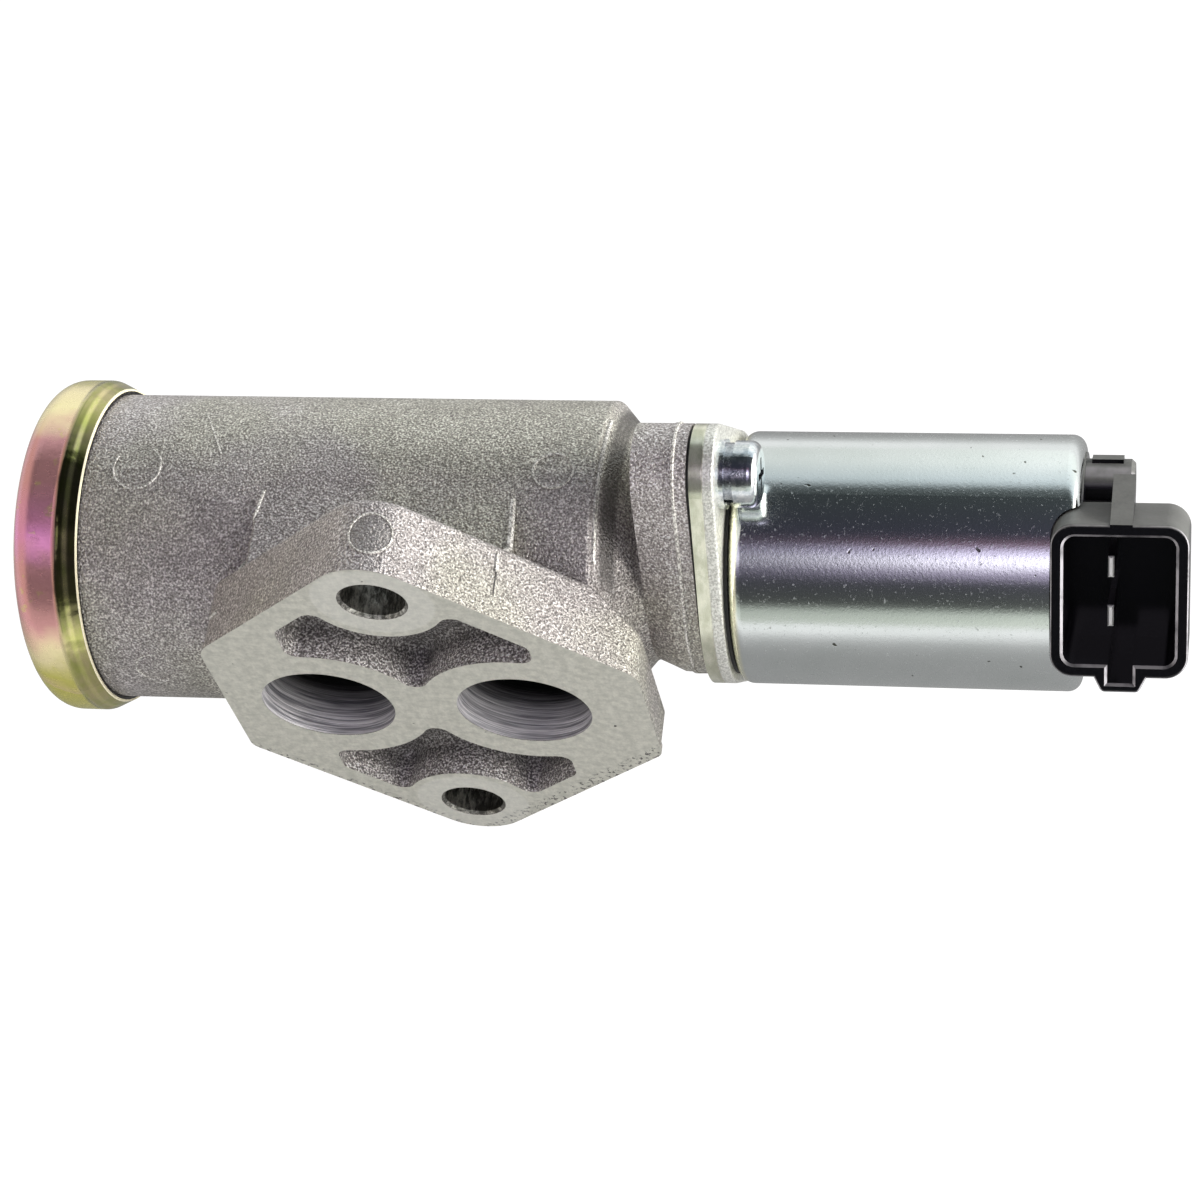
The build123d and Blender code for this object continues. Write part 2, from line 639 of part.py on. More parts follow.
def solenoid_plate():
    """Steel plate with two screw lobes, a spigot in the casting and a hub in the case."""
    plate = bar(PLATE_LEFT, PLATE_RIGHT, plate_outline())
    plate = fillet(plate.faces().sort_by(Axis.X)[-1].edges(), PLATE_EDGE_R)
    plate += rod(CORE_LEFT, PLATE_LEFT, OUTLET_CHAMBER_R - SPIGOT_GAP)
    plate += rod(PLATE_RIGHT, CASE_LEFT + CASE_WALL, HUB_R)
    hub_end = CASE_LEFT + CASE_WALL + HUB_LIP
    plate += rod(CASE_LEFT + CASE_WALL, hub_end, HUB_R + HUB_LIP)
    plate -= rod(CORE_LEFT, hub_end, CORE_R)
    for side in (1, -1):
        hole = Pos(0, side * LOBE_OFFSET) * Circle(SCREW_HOLE_R)
        plate -= bar(PLATE_LEFT, PLATE_RIGHT, hole)
    return plate


def case_seal():
    """Rubber ring in the groove between plate and case."""
    return ring(PLATE_RIGHT, CASE_LEFT, HUB_R + FIT, GROOVE_RING_R)


def connector_frame(n=0.0):
    """The plane of the connector, with local axes along X and across the mouth."""
    turn = math.radians(CONNECTOR_DEG)
    normal = (0, -math.cos(turn), math.sin(turn))
    origin = (SHROUD_MIDDLE, AXIS_HEIGHT + normal[1] * n, normal[2] * n)
    return Plane(origin=origin, x_dir=(1, 0, 0), z_dir=normal)


def shroud_block(grow=0.0):
    """The shroud's outer block, without its back rounding."""
    outline = Pos(0, SHROUD_SHIFT) * RectangleRounded(
        SHROUD_X + 2 * grow, SHROUD_W + 2 * grow, SHROUD_R + grow
    )
    low = MOUTH_DISTANCE - SHROUD_DEPTH
    return extrude(connector_frame(low) * outline, amount=SHROUD_DEPTH)


def solenoid_case():
    """Drawn steel case, turned in over the end moulding and notched for the connector."""
    inner = CASE_INNER_R
    lip_r = CASE_R - CASE_LIP_R - CASE_LIP_HEIGHT / 2
    points = [
        (CASE_LEFT, HUB_R + FIT),
        (CASE_LEFT, CASE_R),
        (CASE_RIGHT, CASE_R),
        (CASE_RIGHT, lip_r),
        (CASE_RIGHT - CASE_LIP_LENGTH, lip_r),
        (CASE_RIGHT - CASE_LIP_LENGTH, inner),
        (CASE_LEFT + CASE_WALL, inner),
        (CASE_LEFT + CASE_WALL, HUB_R + FIT),
    ]
    case = turned(points, ((1, CASE_FOOT_R), (2, CASE_LIP_R)))
    return case - shroud_block(CASE_NOTCH_GAP)


def blade_sketch(side):
    """Section of a connector blade, on the connector's plane."""
    at = Pos(BLADE_SHIFT, SHROUD_SHIFT + side * BLADE_PITCH / 2)
    return at * Rectangle(BLADE_THICKNESS, BLADE_WIDTH)


def terminal(side):
    """One tinned contact blade."""
    low = MOUTH_DISTANCE - SOCKET_DEPTH - BLADE_ROOT
    high = MOUTH_DISTANCE - BLADE_RECESS
    blade = extrude(connector_frame(low) * blade_sketch(side), amount=high - low)
    tip = blade.faces().sort_by(Axis((0, 0, 0), connector_frame().z_dir))[-1]
    return chamfer(tip.edges(), BLADE_THICKNESS / 4)


def connector_housing():
    """End moulding: disc in the case, neck block, connector shroud, latch ramp and peg."""
    lip_r = CASE_R - CASE_LIP_R - CASE_LIP_HEIGHT / 2
    face = CASE_RIGHT + DISC_FACE
    disc = [
        (MOULDING_LEFT, CASE_INNER_R - FIT),
        (CASE_RIGHT - CASE_LIP_LENGTH - FIT, CASE_INNER_R - FIT),
        (CASE_RIGHT - CASE_LIP_LENGTH - FIT, lip_r - FIT),
        (face, lip_r - FIT),
        (face, 0),
        (MOULDING_LEFT, 0),
    ]
    moulding = turned(disc)

    shroud = shroud_block()
    toward = Axis((0, 0, 0), connector_frame().z_dir)
    shroud = fillet(shroud.faces().sort_by(toward)[0].edges(), SHROUD_BACK_R)
    key_top = SHROUD_SHIFT - SHROUD_W / 2
    key = Polygon(
        (-KEY_BASE / 2, key_top),
        (-KEY_TIP / 2, key_top - KEY_HEIGHT),
        (KEY_TIP / 2, key_top - KEY_HEIGHT),
        (KEY_BASE / 2, key_top),
        (KEY_BASE / 2, key_top + SHROUD_BACK_R),
        (-KEY_BASE / 2, key_top + SHROUD_BACK_R),
        align=None,
    )
    key = Pos(KEY_SHIFT, 0) * fillet(key.vertices().sort_by(Axis.Y)[:2], KEY_R)
    key_low = MOUTH_DISTANCE - SHROUD_DEPTH + KEY_BACK
    shroud += extrude(connector_frame(key_low) * key, amount=MOUTH_DISTANCE - key_low)
    mouth = shroud.faces().sort_by(toward)[-1]
    shroud = fillet(mouth.edges(), SHROUD_RIM_R)

    block_back = -NECK_BLOCK_BACK
    block_front = MOUTH_DISTANCE - SHROUD_DEPTH + SHROUD_BACK_R
    block_left = face - SHROUD_MIDDLE - NECK_BLOCK_ROOT / 2
    side_plane = Plane(
        origin=(SHROUD_MIDDLE, AXIS_HEIGHT, 0),
        x_dir=(1, 0, 0),
        z_dir=-connector_frame().y_dir,
    )
    wedge = Polygon(
        (block_left, block_back),
        (block_left + NECK_BLOCK_ROOT, block_back),
        (block_left + NECK_BLOCK_X, block_front - SHROUD_BACK_R),
        (block_left + NECK_BLOCK_X, block_front),
        (block_left, block_front),
        align=None,
    )
    block = extrude(side_plane * wedge, amount=NECK_BLOCK_W / 2, both=True)
    moulding += shroud + block

    ramp_low = MOUTH_DISTANCE - RAMP_LENGTH
    wall_top = SHROUD_SHIFT + SHROUD_W / 2
    ramp = Polygon(
        (0, wall_top - SHROUD_WALL / 2),
        (RAMP_LENGTH, wall_top - SHROUD_WALL / 2),
        (RAMP_LENGTH, wall_top),
        (0, wall_top + RAMP_HEIGHT),
        align=None,
    )
    ramp_origin = connector_frame(ramp_low).origin + Vector(RAMP_SHIFT, 0, 0)
    ramp_plane = Plane(origin=ramp_origin, x_dir=connector_frame().z_dir, z_dir=(-1, 0, 0))
    moulding += extrude(ramp_plane * ramp, amount=RAMP_WIDTH / 2, both=True)

    turn = math.radians(CONNECTOR_DEG)
    peg_y = PEG_W * math.sin(turn) - PEG_N * math.cos(turn)
    peg_z = PEG_W * math.cos(turn) + PEG_N * math.sin(turn)
    peg_left = face
    peg = bar(peg_left, peg_left + PEG_LENGTH, Pos(peg_y, peg_z) * Circle(PEG_R))
    peg = chamfer(peg.faces().sort_by(Axis.X)[-1].edges(), PEG_CHAMFER)
    pad_at = Pos(peg_y, peg_z) * Rot(0, 0, CONNECTOR_DEG)
    pad = pad_at * (Pos(PEG_R / 2 + PEG_PAD / 2, 0) * Rectangle(PEG_R + PEG_PAD, PEG_PAD_WIDTH))
    pad_left = peg_left + PEG_PAD_START
    peg += bar(pad_left, pad_left + PEG_PAD_LENGTH, pad)
    moulding += peg

    socket = Pos(0, SHROUD_SHIFT) * RectangleRounded(
        SHROUD_X - 2 * SHROUD_WALL, SHROUD_W - 2 * SHROUD_WALL, SHROUD_R / 2
    )
    slot_low = key_top - KEY_HEIGHT + KEY_WALL
    slot_high = key_top + 2 * SHROUD_WALL
    slot = Rectangle(KEY_SLOT, slot_high - slot_low)
    socket += Pos(KEY_SHIFT, (slot_low + slot_high) / 2) * slot
    floor = connector_frame(MOUTH_DISTANCE - SOCKET_DEPTH)
    moulding -= extrude(floor * socket, amount=SOCKET_DEPTH)
    rim = connector_frame(MOUTH_DISTANCE) * offset(socket, SHROUD_RIM_CHAMFER, kind=Kind.INTERSECTION)
    moulding -= extrude(rim, amount=-SHROUD_RIM_CHAMFER, taper=45)

    for side in (1, -1):
        low = MOUTH_DISTANCE - SOCKET_DEPTH - BLADE_ROOT
        moulding -= extrude(connector_frame(low) * blade_sketch(side), amount=BLADE_ROOT)
    return moulding - rod(MOULDING_LEFT, SLEEVE_RIGHT + FIT, SLEEVE_R + FIT)


def at_screws(shape):
    """A shape made on the valve axis, copied to both screw lobes."""
    return [Pos(0, 0, side * LOBE_OFFSET) * shape for side in (1, -1)]


def plain_washers():
    left = PLATE_RIGHT
    washer = ring(left, left + WASHER_THICKNESS, SCREW_R + FIT, WASHER_R)
    return at_screws(washer)


def lock_washers():
    left = PLATE_RIGHT + WASHER_THICKNESS
    right = left + LOCK_WASHER_THICKNESS
    washer = ring(left, right, SCREW_R + FIT, LOCK_WASHER_R)
    slit = Pos(-LOCK_WASHER_R, 0) * Rectangle(2 * LOCK_WASHER_R, LOCK_WASHER_SLIT)
    return at_screws(washer - bar(left, right, slit))


def solenoid_screws():
    seat = PLATE_RIGHT + WASHER_THICKNESS + LOCK_WASHER_THICKNESS
    top = seat + HEAD_HEIGHT
    points = [
        (seat - SCREW_LENGTH, 0),
        (seat - SCREW_LENGTH, SCREW_R),
        (seat, SCREW_R),
        (seat, HEAD_R),
        (top, HEAD_R),
        (top, 0),
    ]
    screw = turned(points, ((1, SCREW_END_ROUND), (4, HEAD_ROUND)))
    for turn in (0, 90):
        arm = Rot(0, 0, 45 + turn) * Rectangle(RECESS_SPAN, RECESS_WIDTH)
        screw -= bar(top - RECESS_DEPTH, top, arm)
    return at_screws(screw)


PIECES = {
    "valve_body": valve_body,
    "silencer_cap": silencer_cap,
    "cap_seal": cap_seal,
    "silencer_foam": silencer_foam,
    "baffle_plate": baffle_plate,
    "valve_seat": valve_seat,
    "valve_poppet": valve_poppet,
    "poppet_clip": poppet_clip,
    "valve_rod": valve_rod,
    "fixed_core": fixed_core,
    "rod_bush": rod_bush,
    "armature": armature,
    "armature_sleeve": armature_sleeve,
    "adjusting_plug": adjusting_plug,
    "return_spring": return_spring,
    "balance_spring": balance_spring,
    "coil_bobbin": coil_bobbin,
    "coil_winding": coil_winding,
    "rear_pole": rear_pole,
    "solenoid_gasket": solenoid_gasket,
    "solenoid_plate": solenoid_plate,
    "case_seal": case_seal,
    "solenoid_case": solenoid_case,
    "connector_housing": connector_housing,
    "terminal_upper": lambda: terminal(1),
    "terminal_lower": lambda: terminal(-1),
    "plain_washers": plain_washers,
    "lock_washers": lock_washers,
    "solenoid_screws": solenoid_screws,
}

os.makedirs("parts", exist_ok=True)
for name, make in PIECES.items():
    piece = make()
    if isinstance(piece, list):
        piece = Compound(children=[solid for part in piece for solid in part.solids()])
    export_step(piece, f"parts/{name}.step")
    print(name, len(piece.solids()), round(piece.volume, 1))
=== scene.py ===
import math

import bpy
from mathutils import Matrix, Vector
from mathutils.bvhtree import BVHTree


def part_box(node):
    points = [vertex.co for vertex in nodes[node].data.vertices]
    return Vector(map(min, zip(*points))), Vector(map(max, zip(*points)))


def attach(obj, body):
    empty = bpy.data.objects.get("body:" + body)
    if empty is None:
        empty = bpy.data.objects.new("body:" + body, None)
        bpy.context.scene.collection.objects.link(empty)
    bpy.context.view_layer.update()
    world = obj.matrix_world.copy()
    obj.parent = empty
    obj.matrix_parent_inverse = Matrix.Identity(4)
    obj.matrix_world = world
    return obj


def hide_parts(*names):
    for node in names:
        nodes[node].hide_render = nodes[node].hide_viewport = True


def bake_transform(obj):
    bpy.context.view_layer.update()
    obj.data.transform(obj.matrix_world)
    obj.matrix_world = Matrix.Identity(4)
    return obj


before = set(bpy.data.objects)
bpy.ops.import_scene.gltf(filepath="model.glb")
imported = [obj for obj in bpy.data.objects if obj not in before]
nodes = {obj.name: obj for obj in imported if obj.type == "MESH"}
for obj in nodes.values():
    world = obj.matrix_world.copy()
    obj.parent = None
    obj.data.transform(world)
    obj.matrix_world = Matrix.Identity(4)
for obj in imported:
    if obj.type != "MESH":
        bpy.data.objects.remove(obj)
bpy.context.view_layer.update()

# Places on the valve, in metres, in the frame of the CAD model.
# The mounting face is the plane y = 0, and the valve axis is parallel to X.
MM = 0.001
AXIS_Y = (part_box("solenoid_case")[0].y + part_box("solenoid_case")[1].y) / 2
FLOOR_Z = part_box("valve_body")[0].z

# The casting's machined face, with its ports, bolt holes and hollows
PORT_X = 13.95 * MM
PORT_R = 9.38 * MM
PORT_DEPTH = 17.5 * MM
BOLT_X = 0.63 * MM               # the lower bolt is as far to the right as the upper is to the left
BOLT_Z = 30.3 * MM
BOLT_R = 4.3 * MM
BOLT_SEAT_R = 8.0 * MM
HOLLOW_EDGE = 27.0 * MM          # from the middle of the face towards the flange's slanted sides
HOLLOW_HALF = 22.0 * MM
HOLLOW_DEPTH = 6.2 * MM

# The casting's flange and barrel
EDGE_X = math.cos(math.radians(46.3))
EDGE_Z = math.sin(math.radians(46.3))
UPPER_EDGE = 29.37 * MM          # right upper side of the flange, from the middle of the face
FLANGE_DEPTH = 10.0 * MM         # from the mounting face to the flange's back
TIP_X = -0.87 * MM               # middle of the flange's rounded upper tip
TIP_Z = 31.76 * MM
TIP_R = 7.0 * MM
BARREL_R = 21.65 * MM
RIDGE_X = 24.9 * MM              # bright ridge round the barrel's right end
GROOVE_X = 26.4 * MM             # middle of the groove behind it, where shade is painted dark
NECK_X = 31.0 * MM               # the barrel has turned into the narrower neck here
NECK_LINE_X = 36.3 * MM          # parting line round the casting's end

# Marks left by the mould
TIP_MARK_TURN = math.radians(8.8)
TIP_MARK_Y = 5.6 * MM
TIP_MARK_R = 2.9 * MM
TIP_MARK = (TIP_X + TIP_R * math.sin(TIP_MARK_TURN), TIP_MARK_Y, TIP_Z + TIP_R * math.cos(TIP_MARK_TURN))
SEAM_ALONG = -8.2 * MM           # down the flange's right upper side
SEAM_TOP_Y = 9.0 * MM
SEAM_STEP = 0.9 * MM
CREST_SHARE = 0.45               # width of a raised line's top, as a share of its foot
RAY_REACH = 12.0 * MM            # rays that seat a mark start this far off the casting

# Cap, plate, case and connector
CAP_LEFT_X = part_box("silencer_cap")[0].x
HEM_LEFT_X = -50.0 * MM          # rolled edge of the cap
HEM_RIGHT_X = -47.4 * MM
# where a highlight is painted as a light streak round the rolled edge
HEM_HIGHLIGHT_X = HEM_LEFT_X + 1.1 * MM
HEM_R = 22.45 * MM
CASE_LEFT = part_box("solenoid_case")[0].x
PLATE_TEAR_X = CASE_LEFT - 2.0 * MM
SLANT = math.sqrt(0.5)           # the connector points 45 degrees off the face
SHROUD_BACK_W = 5.0 * MM         # the mouth's rear wall lies beyond this, the cavity before it
BLADE_TIP = 15.7 * MM            # from the valve axis towards the mouth

# Floor and lamps
FLOOR_HALF = 3.0                 # half of its width
PAINTED_SHADOW_MIDDLE = AXIS_Y              # middle of the painted shadow in the floor's glow seen in bright metal, in x and in y
LAMP_TARGET = Vector((0.02, 0.02, 0.0))

# Camera, fitted to the photograph
TARGET = Vector((19.4247, 24.8361, -13.4780)) * MM
YAW = math.radians(22.8557)
ELEVATION = math.radians(59.5152)
ROLL = math.radians(-18.7236)
DISTANCE = 454.997 * MM
FOCAL_PIXELS = 3155.38
IMAGE_PIXELS = 1200
SENSOR_MM = 36.0
CLIP_START = 0.01
CLIP_END = 20.0


class Graph:
    """A node tree that is built by adding nodes and linking their sockets."""

    def __init__(self, tree):
        self.tree = tree
        self.tree.nodes.clear()

    def add(self, kind, **settings):
        node = self.tree.nodes.new(kind)
        for name, value in settings.items():
            setattr(node, name, value)
        return node

    def put(self, socket, value):
        if isinstance(value, bpy.types.NodeSocket):
            self.tree.links.new(value, socket)
        else:
            socket.default_value = value

    def math(self, operation, a, b=0.0, c=0.0):
        node = self.add("ShaderNodeMath", operation=operation)
        for socket, value in zip(node.inputs, (a, b, c)):
            self.put(socket, value)
        return node.outputs[0]

    def times(self, *values):
        product = values[0]
        for value in values[1:]:
            product = self.math("MULTIPLY", product, value)
        return product

    def plus(self, a, b):
        return self.math("ADD", a, b)

    def minus(self, a, b):
        return self.math("SUBTRACT", a, b)

    def larger(self, a, b):
        return self.math("MAXIMUM", a, b)

    def absolute(self, value):
        return self.math("ABSOLUTE", value)

    def radius(self, a, b):
        """Length of the vector (a, b)."""
        return self.math("SQRT", self.plus(self.times(a, a), self.times(b, b)))

    def turn(self, y, z):
        """Angle about X, from 0 to 1: 0.5 towards +Y and 0.75 towards +Z."""
        return self.math("MULTIPLY_ADD", self.math("ARCTAN2", z, y), 0.5 / math.pi, 0.5)

    def step(self, value, low, high, start=0.0, end=1.0):
        """Smooth change from start to end while value goes from low to high."""
        node = self.add("ShaderNodeMapRange", interpolation_type="SMOOTHSTEP")
        for name, given in (
            ("Value", value), ("From Min", low), ("From Max", high), ("To Min", start), ("To Max", end)
        ):
            self.put(node.inputs[name], given)
        return node.outputs[0]

    def lerp(self, factor, a, b):
        """The number a where factor is 0, and b where it is 1."""
        node = self.add("ShaderNodeMix", data_type="FLOAT")
        for socket, value in zip(node.inputs[:1] + node.inputs[2:4], (factor, a, b)):
            self.put(socket, value)
        return node.outputs[0]

    def mix(self, factor, a, b, blend="MIX"):
        """Mix of two colours."""
        node = self.add("ShaderNodeMix", data_type="RGBA", blend_type=blend)
        self.put(node.inputs["Factor"], factor)
        self.put(node.inputs[6], a)
        self.put(node.inputs[7], b)
        return node.outputs[2]

    def tinted(self, colour, tint):
        """The colour times the tint."""
        return self.mix(1.0, colour, tint, "MULTIPLY")

    def ramp(self, factor, stops):
        """Colour ramp with (place, colour) stops."""
        node = self.add("ShaderNodeValToRGB")
        elements = node.color_ramp.elements
        while len(elements) < len(stops):
            elements.new(0.5)
        for element, (place, colour) in zip(elements, stops):
            element.position = place
            element.color = colour
        self.put(node.inputs[0], factor)
        return node.outputs[0]

    def tone(self, value):
        """A number as a shade of grey."""
        node = self.add("ShaderNodeCombineXYZ")
        for socket in node.inputs:
            self.put(socket, value)
        return node.outputs[0]

    def noise(self, vector, size, detail=2.0, roughness=0.5, distortion=0.0):
        """Noise whose features are about size metres wide."""
        node = self.add("ShaderNodeTexNoise")
        self.put(node.inputs["Vector"], vector)
        node.inputs["Scale"].default_value = 1 / size
        node.inputs["Detail"].default_value = detail
        node.inputs["Roughness"].default_value = roughness
        node.inputs["Distortion"].default_value = distortion
        return node.outputs["Fac"]

    def place(self):
        """The point's place on the part, in metres."""
        return self.add("ShaderNodeTexCoord").outputs["Object"]

    def axes(self, vector):
        """The vector's x, y and z."""
        node = self.add("ShaderNodeSeparateXYZ")
        self.put(node.inputs[0], vector)
        return node.outputs

    def scaled(self, vector, factors):
        """The vector with its axes stretched, for textures that run one way."""
        node = self.add("ShaderNodeVectorMath", operation="MULTIPLY")
        self.put(node.inputs[0], vector)
        node.inputs[1].default_value = factors
        return node.outputs[0]

    def bump(self, height, depth):
        """Bump that stands depth metres high where height is 1."""
        node = self.add("ShaderNodeBump")
        self.put(node.inputs["Height"], height)
        node.inputs["Distance"].default_value = depth
        return node.outputs[0]

    def surface(self, colour, metallic, roughness, normal, **fixed):
        """The principled shader at the end of a material, with other inputs by name."""
        shader = self.add("ShaderNodeBsdfPrincipled")
        self.put(shader.inputs["Base Color"], colour)
        self.put(shader.inputs["Metallic"], metallic)
        self.put(shader.inputs["Roughness"], roughness)
        self.put(shader.inputs["Normal"], normal)
        for name, value in fixed.items():
            shader.inputs[name.replace("_", " ")].default_value = value
        output = self.add("ShaderNodeOutputMaterial")
        self.put(output.inputs["Surface"], shader.outputs[0])


def grey(value):
    return (value, value, value, 1.0)


def turn_place(degrees):
    """Place on a ramp of the graph's turn, for an angle from +Y towards +Z."""
    return degrees / 360.0 + 0.5


def new_material(name):
    material = bpy.data.materials.new(name)
    material.use_nodes = True
    return material, Graph(material.node_tree)


def camera():
    """The photograph's camera."""
    data = bpy.data.cameras.new("camera")
    data.sensor_width = SENSOR_MM
    data.lens = FOCAL_PIXELS / IMAGE_PIXELS * SENSOR_MM
    data.clip_start = CLIP_START
    data.clip_end = CLIP_END
    back = Vector((
        math.sin(YAW) * math.cos(ELEVATION),
        -math.cos(YAW) * math.cos(ELEVATION),
        math.sin(ELEVATION),
    ))
    level = Vector((math.cos(YAW), math.sin(YAW), 0.0))
    right = math.cos(ROLL) * level + math.sin(ROLL) * back.cross(level)
    turn = Matrix((right, back.cross(right), back)).transposed()
    seat = bpy.data.objects.new("camera", data)
    seat.matrix_world = Matrix.Translation(TARGET + DISTANCE * back) @ turn.to_4x4()
    bpy.context.scene.collection.objects.link(seat)
    bpy.context.scene.camera = seat


def studio():
    """Pale surroundings with dark gaps overhead, which give the bright metal its bands."""
    world = bpy.data.worlds.new("studio")
    bpy.context.scene.world = world
    world.use_nodes = True
    graph = Graph(world.node_tree)
    x, y, z = graph.axes(graph.add("ShaderNodeTexCoord").outputs["Generated"])
    turn = graph.turn(y, z)
    gaps = graph.ramp(turn, [
        (turn_place(-180), (0.72, 0.76, 0.68, 1)),
        (turn_place(-20), (0.92, 0.94, 0.90, 1)),
        (turn_place(20), (0.98, 1.02, 1.00, 1)),
        (turn_place(44), (0.70, 0.78, 0.82, 1)),
        (turn_place(53), (0.045, 0.055, 0.055, 1)),
        (turn_place(98), (0.045, 0.045, 0.065, 1)),
        (turn_place(138), (0.06, 0.06, 0.075, 1)),
        (turn_place(162), (0.08, 0.085, 0.08, 1)),
        (turn_place(168), (0.60, 0.64, 0.58, 1)),
        (turn_place(180), (0.72, 0.76, 0.68, 1)),
    ])
    strip = graph.ramp(turn, [
        (turn_place(98), (0.0, 0.0, 0.0, 1)),
        (turn_place(105), (0.16, 0.06, 0.08, 1)),
        (turn_place(112), (1.00, 0.88, 1.25, 1)),
        (turn_place(120), (1.90, 1.78, 2.05, 1)),
        (turn_place(130), (0.50, 0.42, 0.60, 1)),
        (turn_place(140), (0.0, 0.0, 0.0, 1)),
    ])

    # From here x is how far a direction leans along the valve axis, -1 to the left and 1 to the right
    reach = graph.times(graph.step(x, -0.113, -0.090), graph.step(x, 0.40, 0.15))
    reach = graph.larger(reach, graph.step(x, -0.26, -0.31, 0.0, 0.5))
    strip = graph.mix(graph.math("MULTIPLY_ADD", reach, 0.96, 0.04), grey(0.0), strip)
    banded = graph.mix(1.0, gaps, strip, "ADD")
    nearer = graph.step(x, -0.13, -0.03, 0.76, 1.14)
    nearer = graph.larger(nearer, graph.step(x, -0.22, -0.32, 0.0, 1.0))
    banded = graph.tinted(banded, graph.tone(nearer))
    left = graph.step(x, -0.55, -0.85)
    banded = graph.mix(left, banded, (0.80, 0.74, 0.63, 1))
    right = graph.step(x, 0.70, 0.84)
    banded = graph.mix(right, banded, (3.6, 3.5, 3.3, 1))
    rays = graph.add("ShaderNodeLightPath").outputs
    colour = graph.mix(rays["Is Camera Ray"], banded, grey(1.0))
    background = graph.add("ShaderNodeBackground")
    graph.put(background.inputs["Color"], colour)
    output = graph.add("ShaderNodeOutputWorld")
    graph.put(output.inputs["Surface"], background.outputs[0])


def floor():
    """Plain white floor under the valve, which keeps a little of its shadow, and whose glow seen in bright
    metal has a painted shadow, dimmer near the valve.
    """
    mesh = bpy.data.meshes.new("floor")
    corners = [(-1, -1), (1, -1), (1, 1), (-1, 1)]
    mesh.from_pydata([(FLOOR_HALF * x, FLOOR_HALF * y, FLOOR_Z) for x, y in corners], [], [(0, 1, 2, 3)])
    plane = bpy.data.objects.new("floor", mesh)
    bpy.context.scene.collection.objects.link(plane)
    material, graph = new_material("floor")
    rays = graph.add("ShaderNodeLightPath").outputs
    mirrored = graph.larger(rays["Is Glossy Ray"], rays["Is Transmission Ray"])
    diffuse = graph.add("ShaderNodeBsdfDiffuse")
    diffuse.inputs["Color"].default_value = grey(0.8)
    x, y, _ = graph.axes(graph.place())
    away = graph.radius(graph.minus(x, PAINTED_SHADOW_MIDDLE), graph.minus(y, PAINTED_SHADOW_MIDDLE))
    # Painted shadow: the glow that bright metal sees in the floor is dimmer near the valve
    shade = graph.step(away, 0.05, 0.32, 0.24, 0.95)
    glow = graph.add("ShaderNodeEmission")
    glow.inputs["Color"].default_value = grey(1.0)
    graph.put(glow.inputs["Strength"], graph.lerp(mirrored, 1.15, shade))
    mixed = graph.add("ShaderNodeMixShader")
    seen = graph.larger(rays["Is Camera Ray"], mirrored)
    graph.put(mixed.inputs[0], graph.times(seen, 0.85))
    graph.put(mixed.inputs[1], diffuse.outputs[0])
    graph.put(mixed.inputs[2], glow.outputs[0])
    output = graph.add("ShaderNodeOutputMaterial")
    graph.put(output.inputs["Surface"], mixed.outputs[0])
    mesh.materials.append(material)


def lamp(name, place, size, power):
    """Soft square lamp at place that shines at the valve, unseen in the bright metal."""
    data = bpy.data.lights.new(name, "AREA")
    data.size = size
    data.energy = power
    lamp_object = bpy.data.objects.new(name, data)
    direction = Vector(place) - LAMP_TARGET
    turn = direction.to_track_quat("Z", "Y").to_matrix().to_4x4()
    lamp_object.matrix_world = Matrix.Translation(Vector(place)) @ turn
    lamp_object.visible_glossy = False
    bpy.context.scene.collection.objects.link(lamp_object)


def edge_gap(graph, x, z):
    """Distance from the middle of the face towards the flange's slanted sides."""
    return graph.plus(graph.times(graph.absolute(x), EDGE_X), graph.times(graph.absolute(z), EDGE_Z))


def bolt_gap(graph, x, z):
    """Distance from the middle of the nearer bolt hole."""
    lean = graph.math("MULTIPLY_ADD", z, BOLT_X / BOLT_Z, x)
    return graph.radius(lean, graph.minus(graph.absolute(z), BOLT_Z))


def cast_zones(graph, place):
    """Where the casting is milled, bored, drilled or hollowed, each from 0 to 1."""
    x, y, z = graph.axes(place)
    normal = graph.add("ShaderNodeNewGeometry").outputs["Normal"]
    facing = graph.times(graph.axes(normal)[1], -1.0)
    across = graph.absolute(x)
    inside = graph.step(y, 0.02 * MM, 0.10 * MM)
    milled = graph.times(graph.step(facing, 0.95, 0.99), graph.step(y, 0.10 * MM, 0.03 * MM))
    port = graph.times(
        inside,
        graph.step(graph.radius(graph.minus(across, PORT_X), z), PORT_R + 0.25 * MM, PORT_R + 0.1 * MM),
        graph.step(y, PORT_DEPTH + MM, PORT_DEPTH),
    )
    bolt = graph.times(
        inside,
        graph.step(bolt_gap(graph, x, z), BOLT_R + 0.9 * MM, BOLT_R + 0.6 * MM),
        graph.step(graph.absolute(facing), 0.95, 0.85),
    )
    hollow = graph.times(
        inside,
        graph.step(edge_gap(graph, x, z), HOLLOW_EDGE + 0.6 * MM, HOLLOW_EDGE),
        graph.step(across, HOLLOW_HALF + 2.0 * MM, HOLLOW_HALF),
        graph.step(y, HOLLOW_DEPTH + 0.4 * MM, HOLLOW_DEPTH),
    )
    return milled, port, bolt, hollow


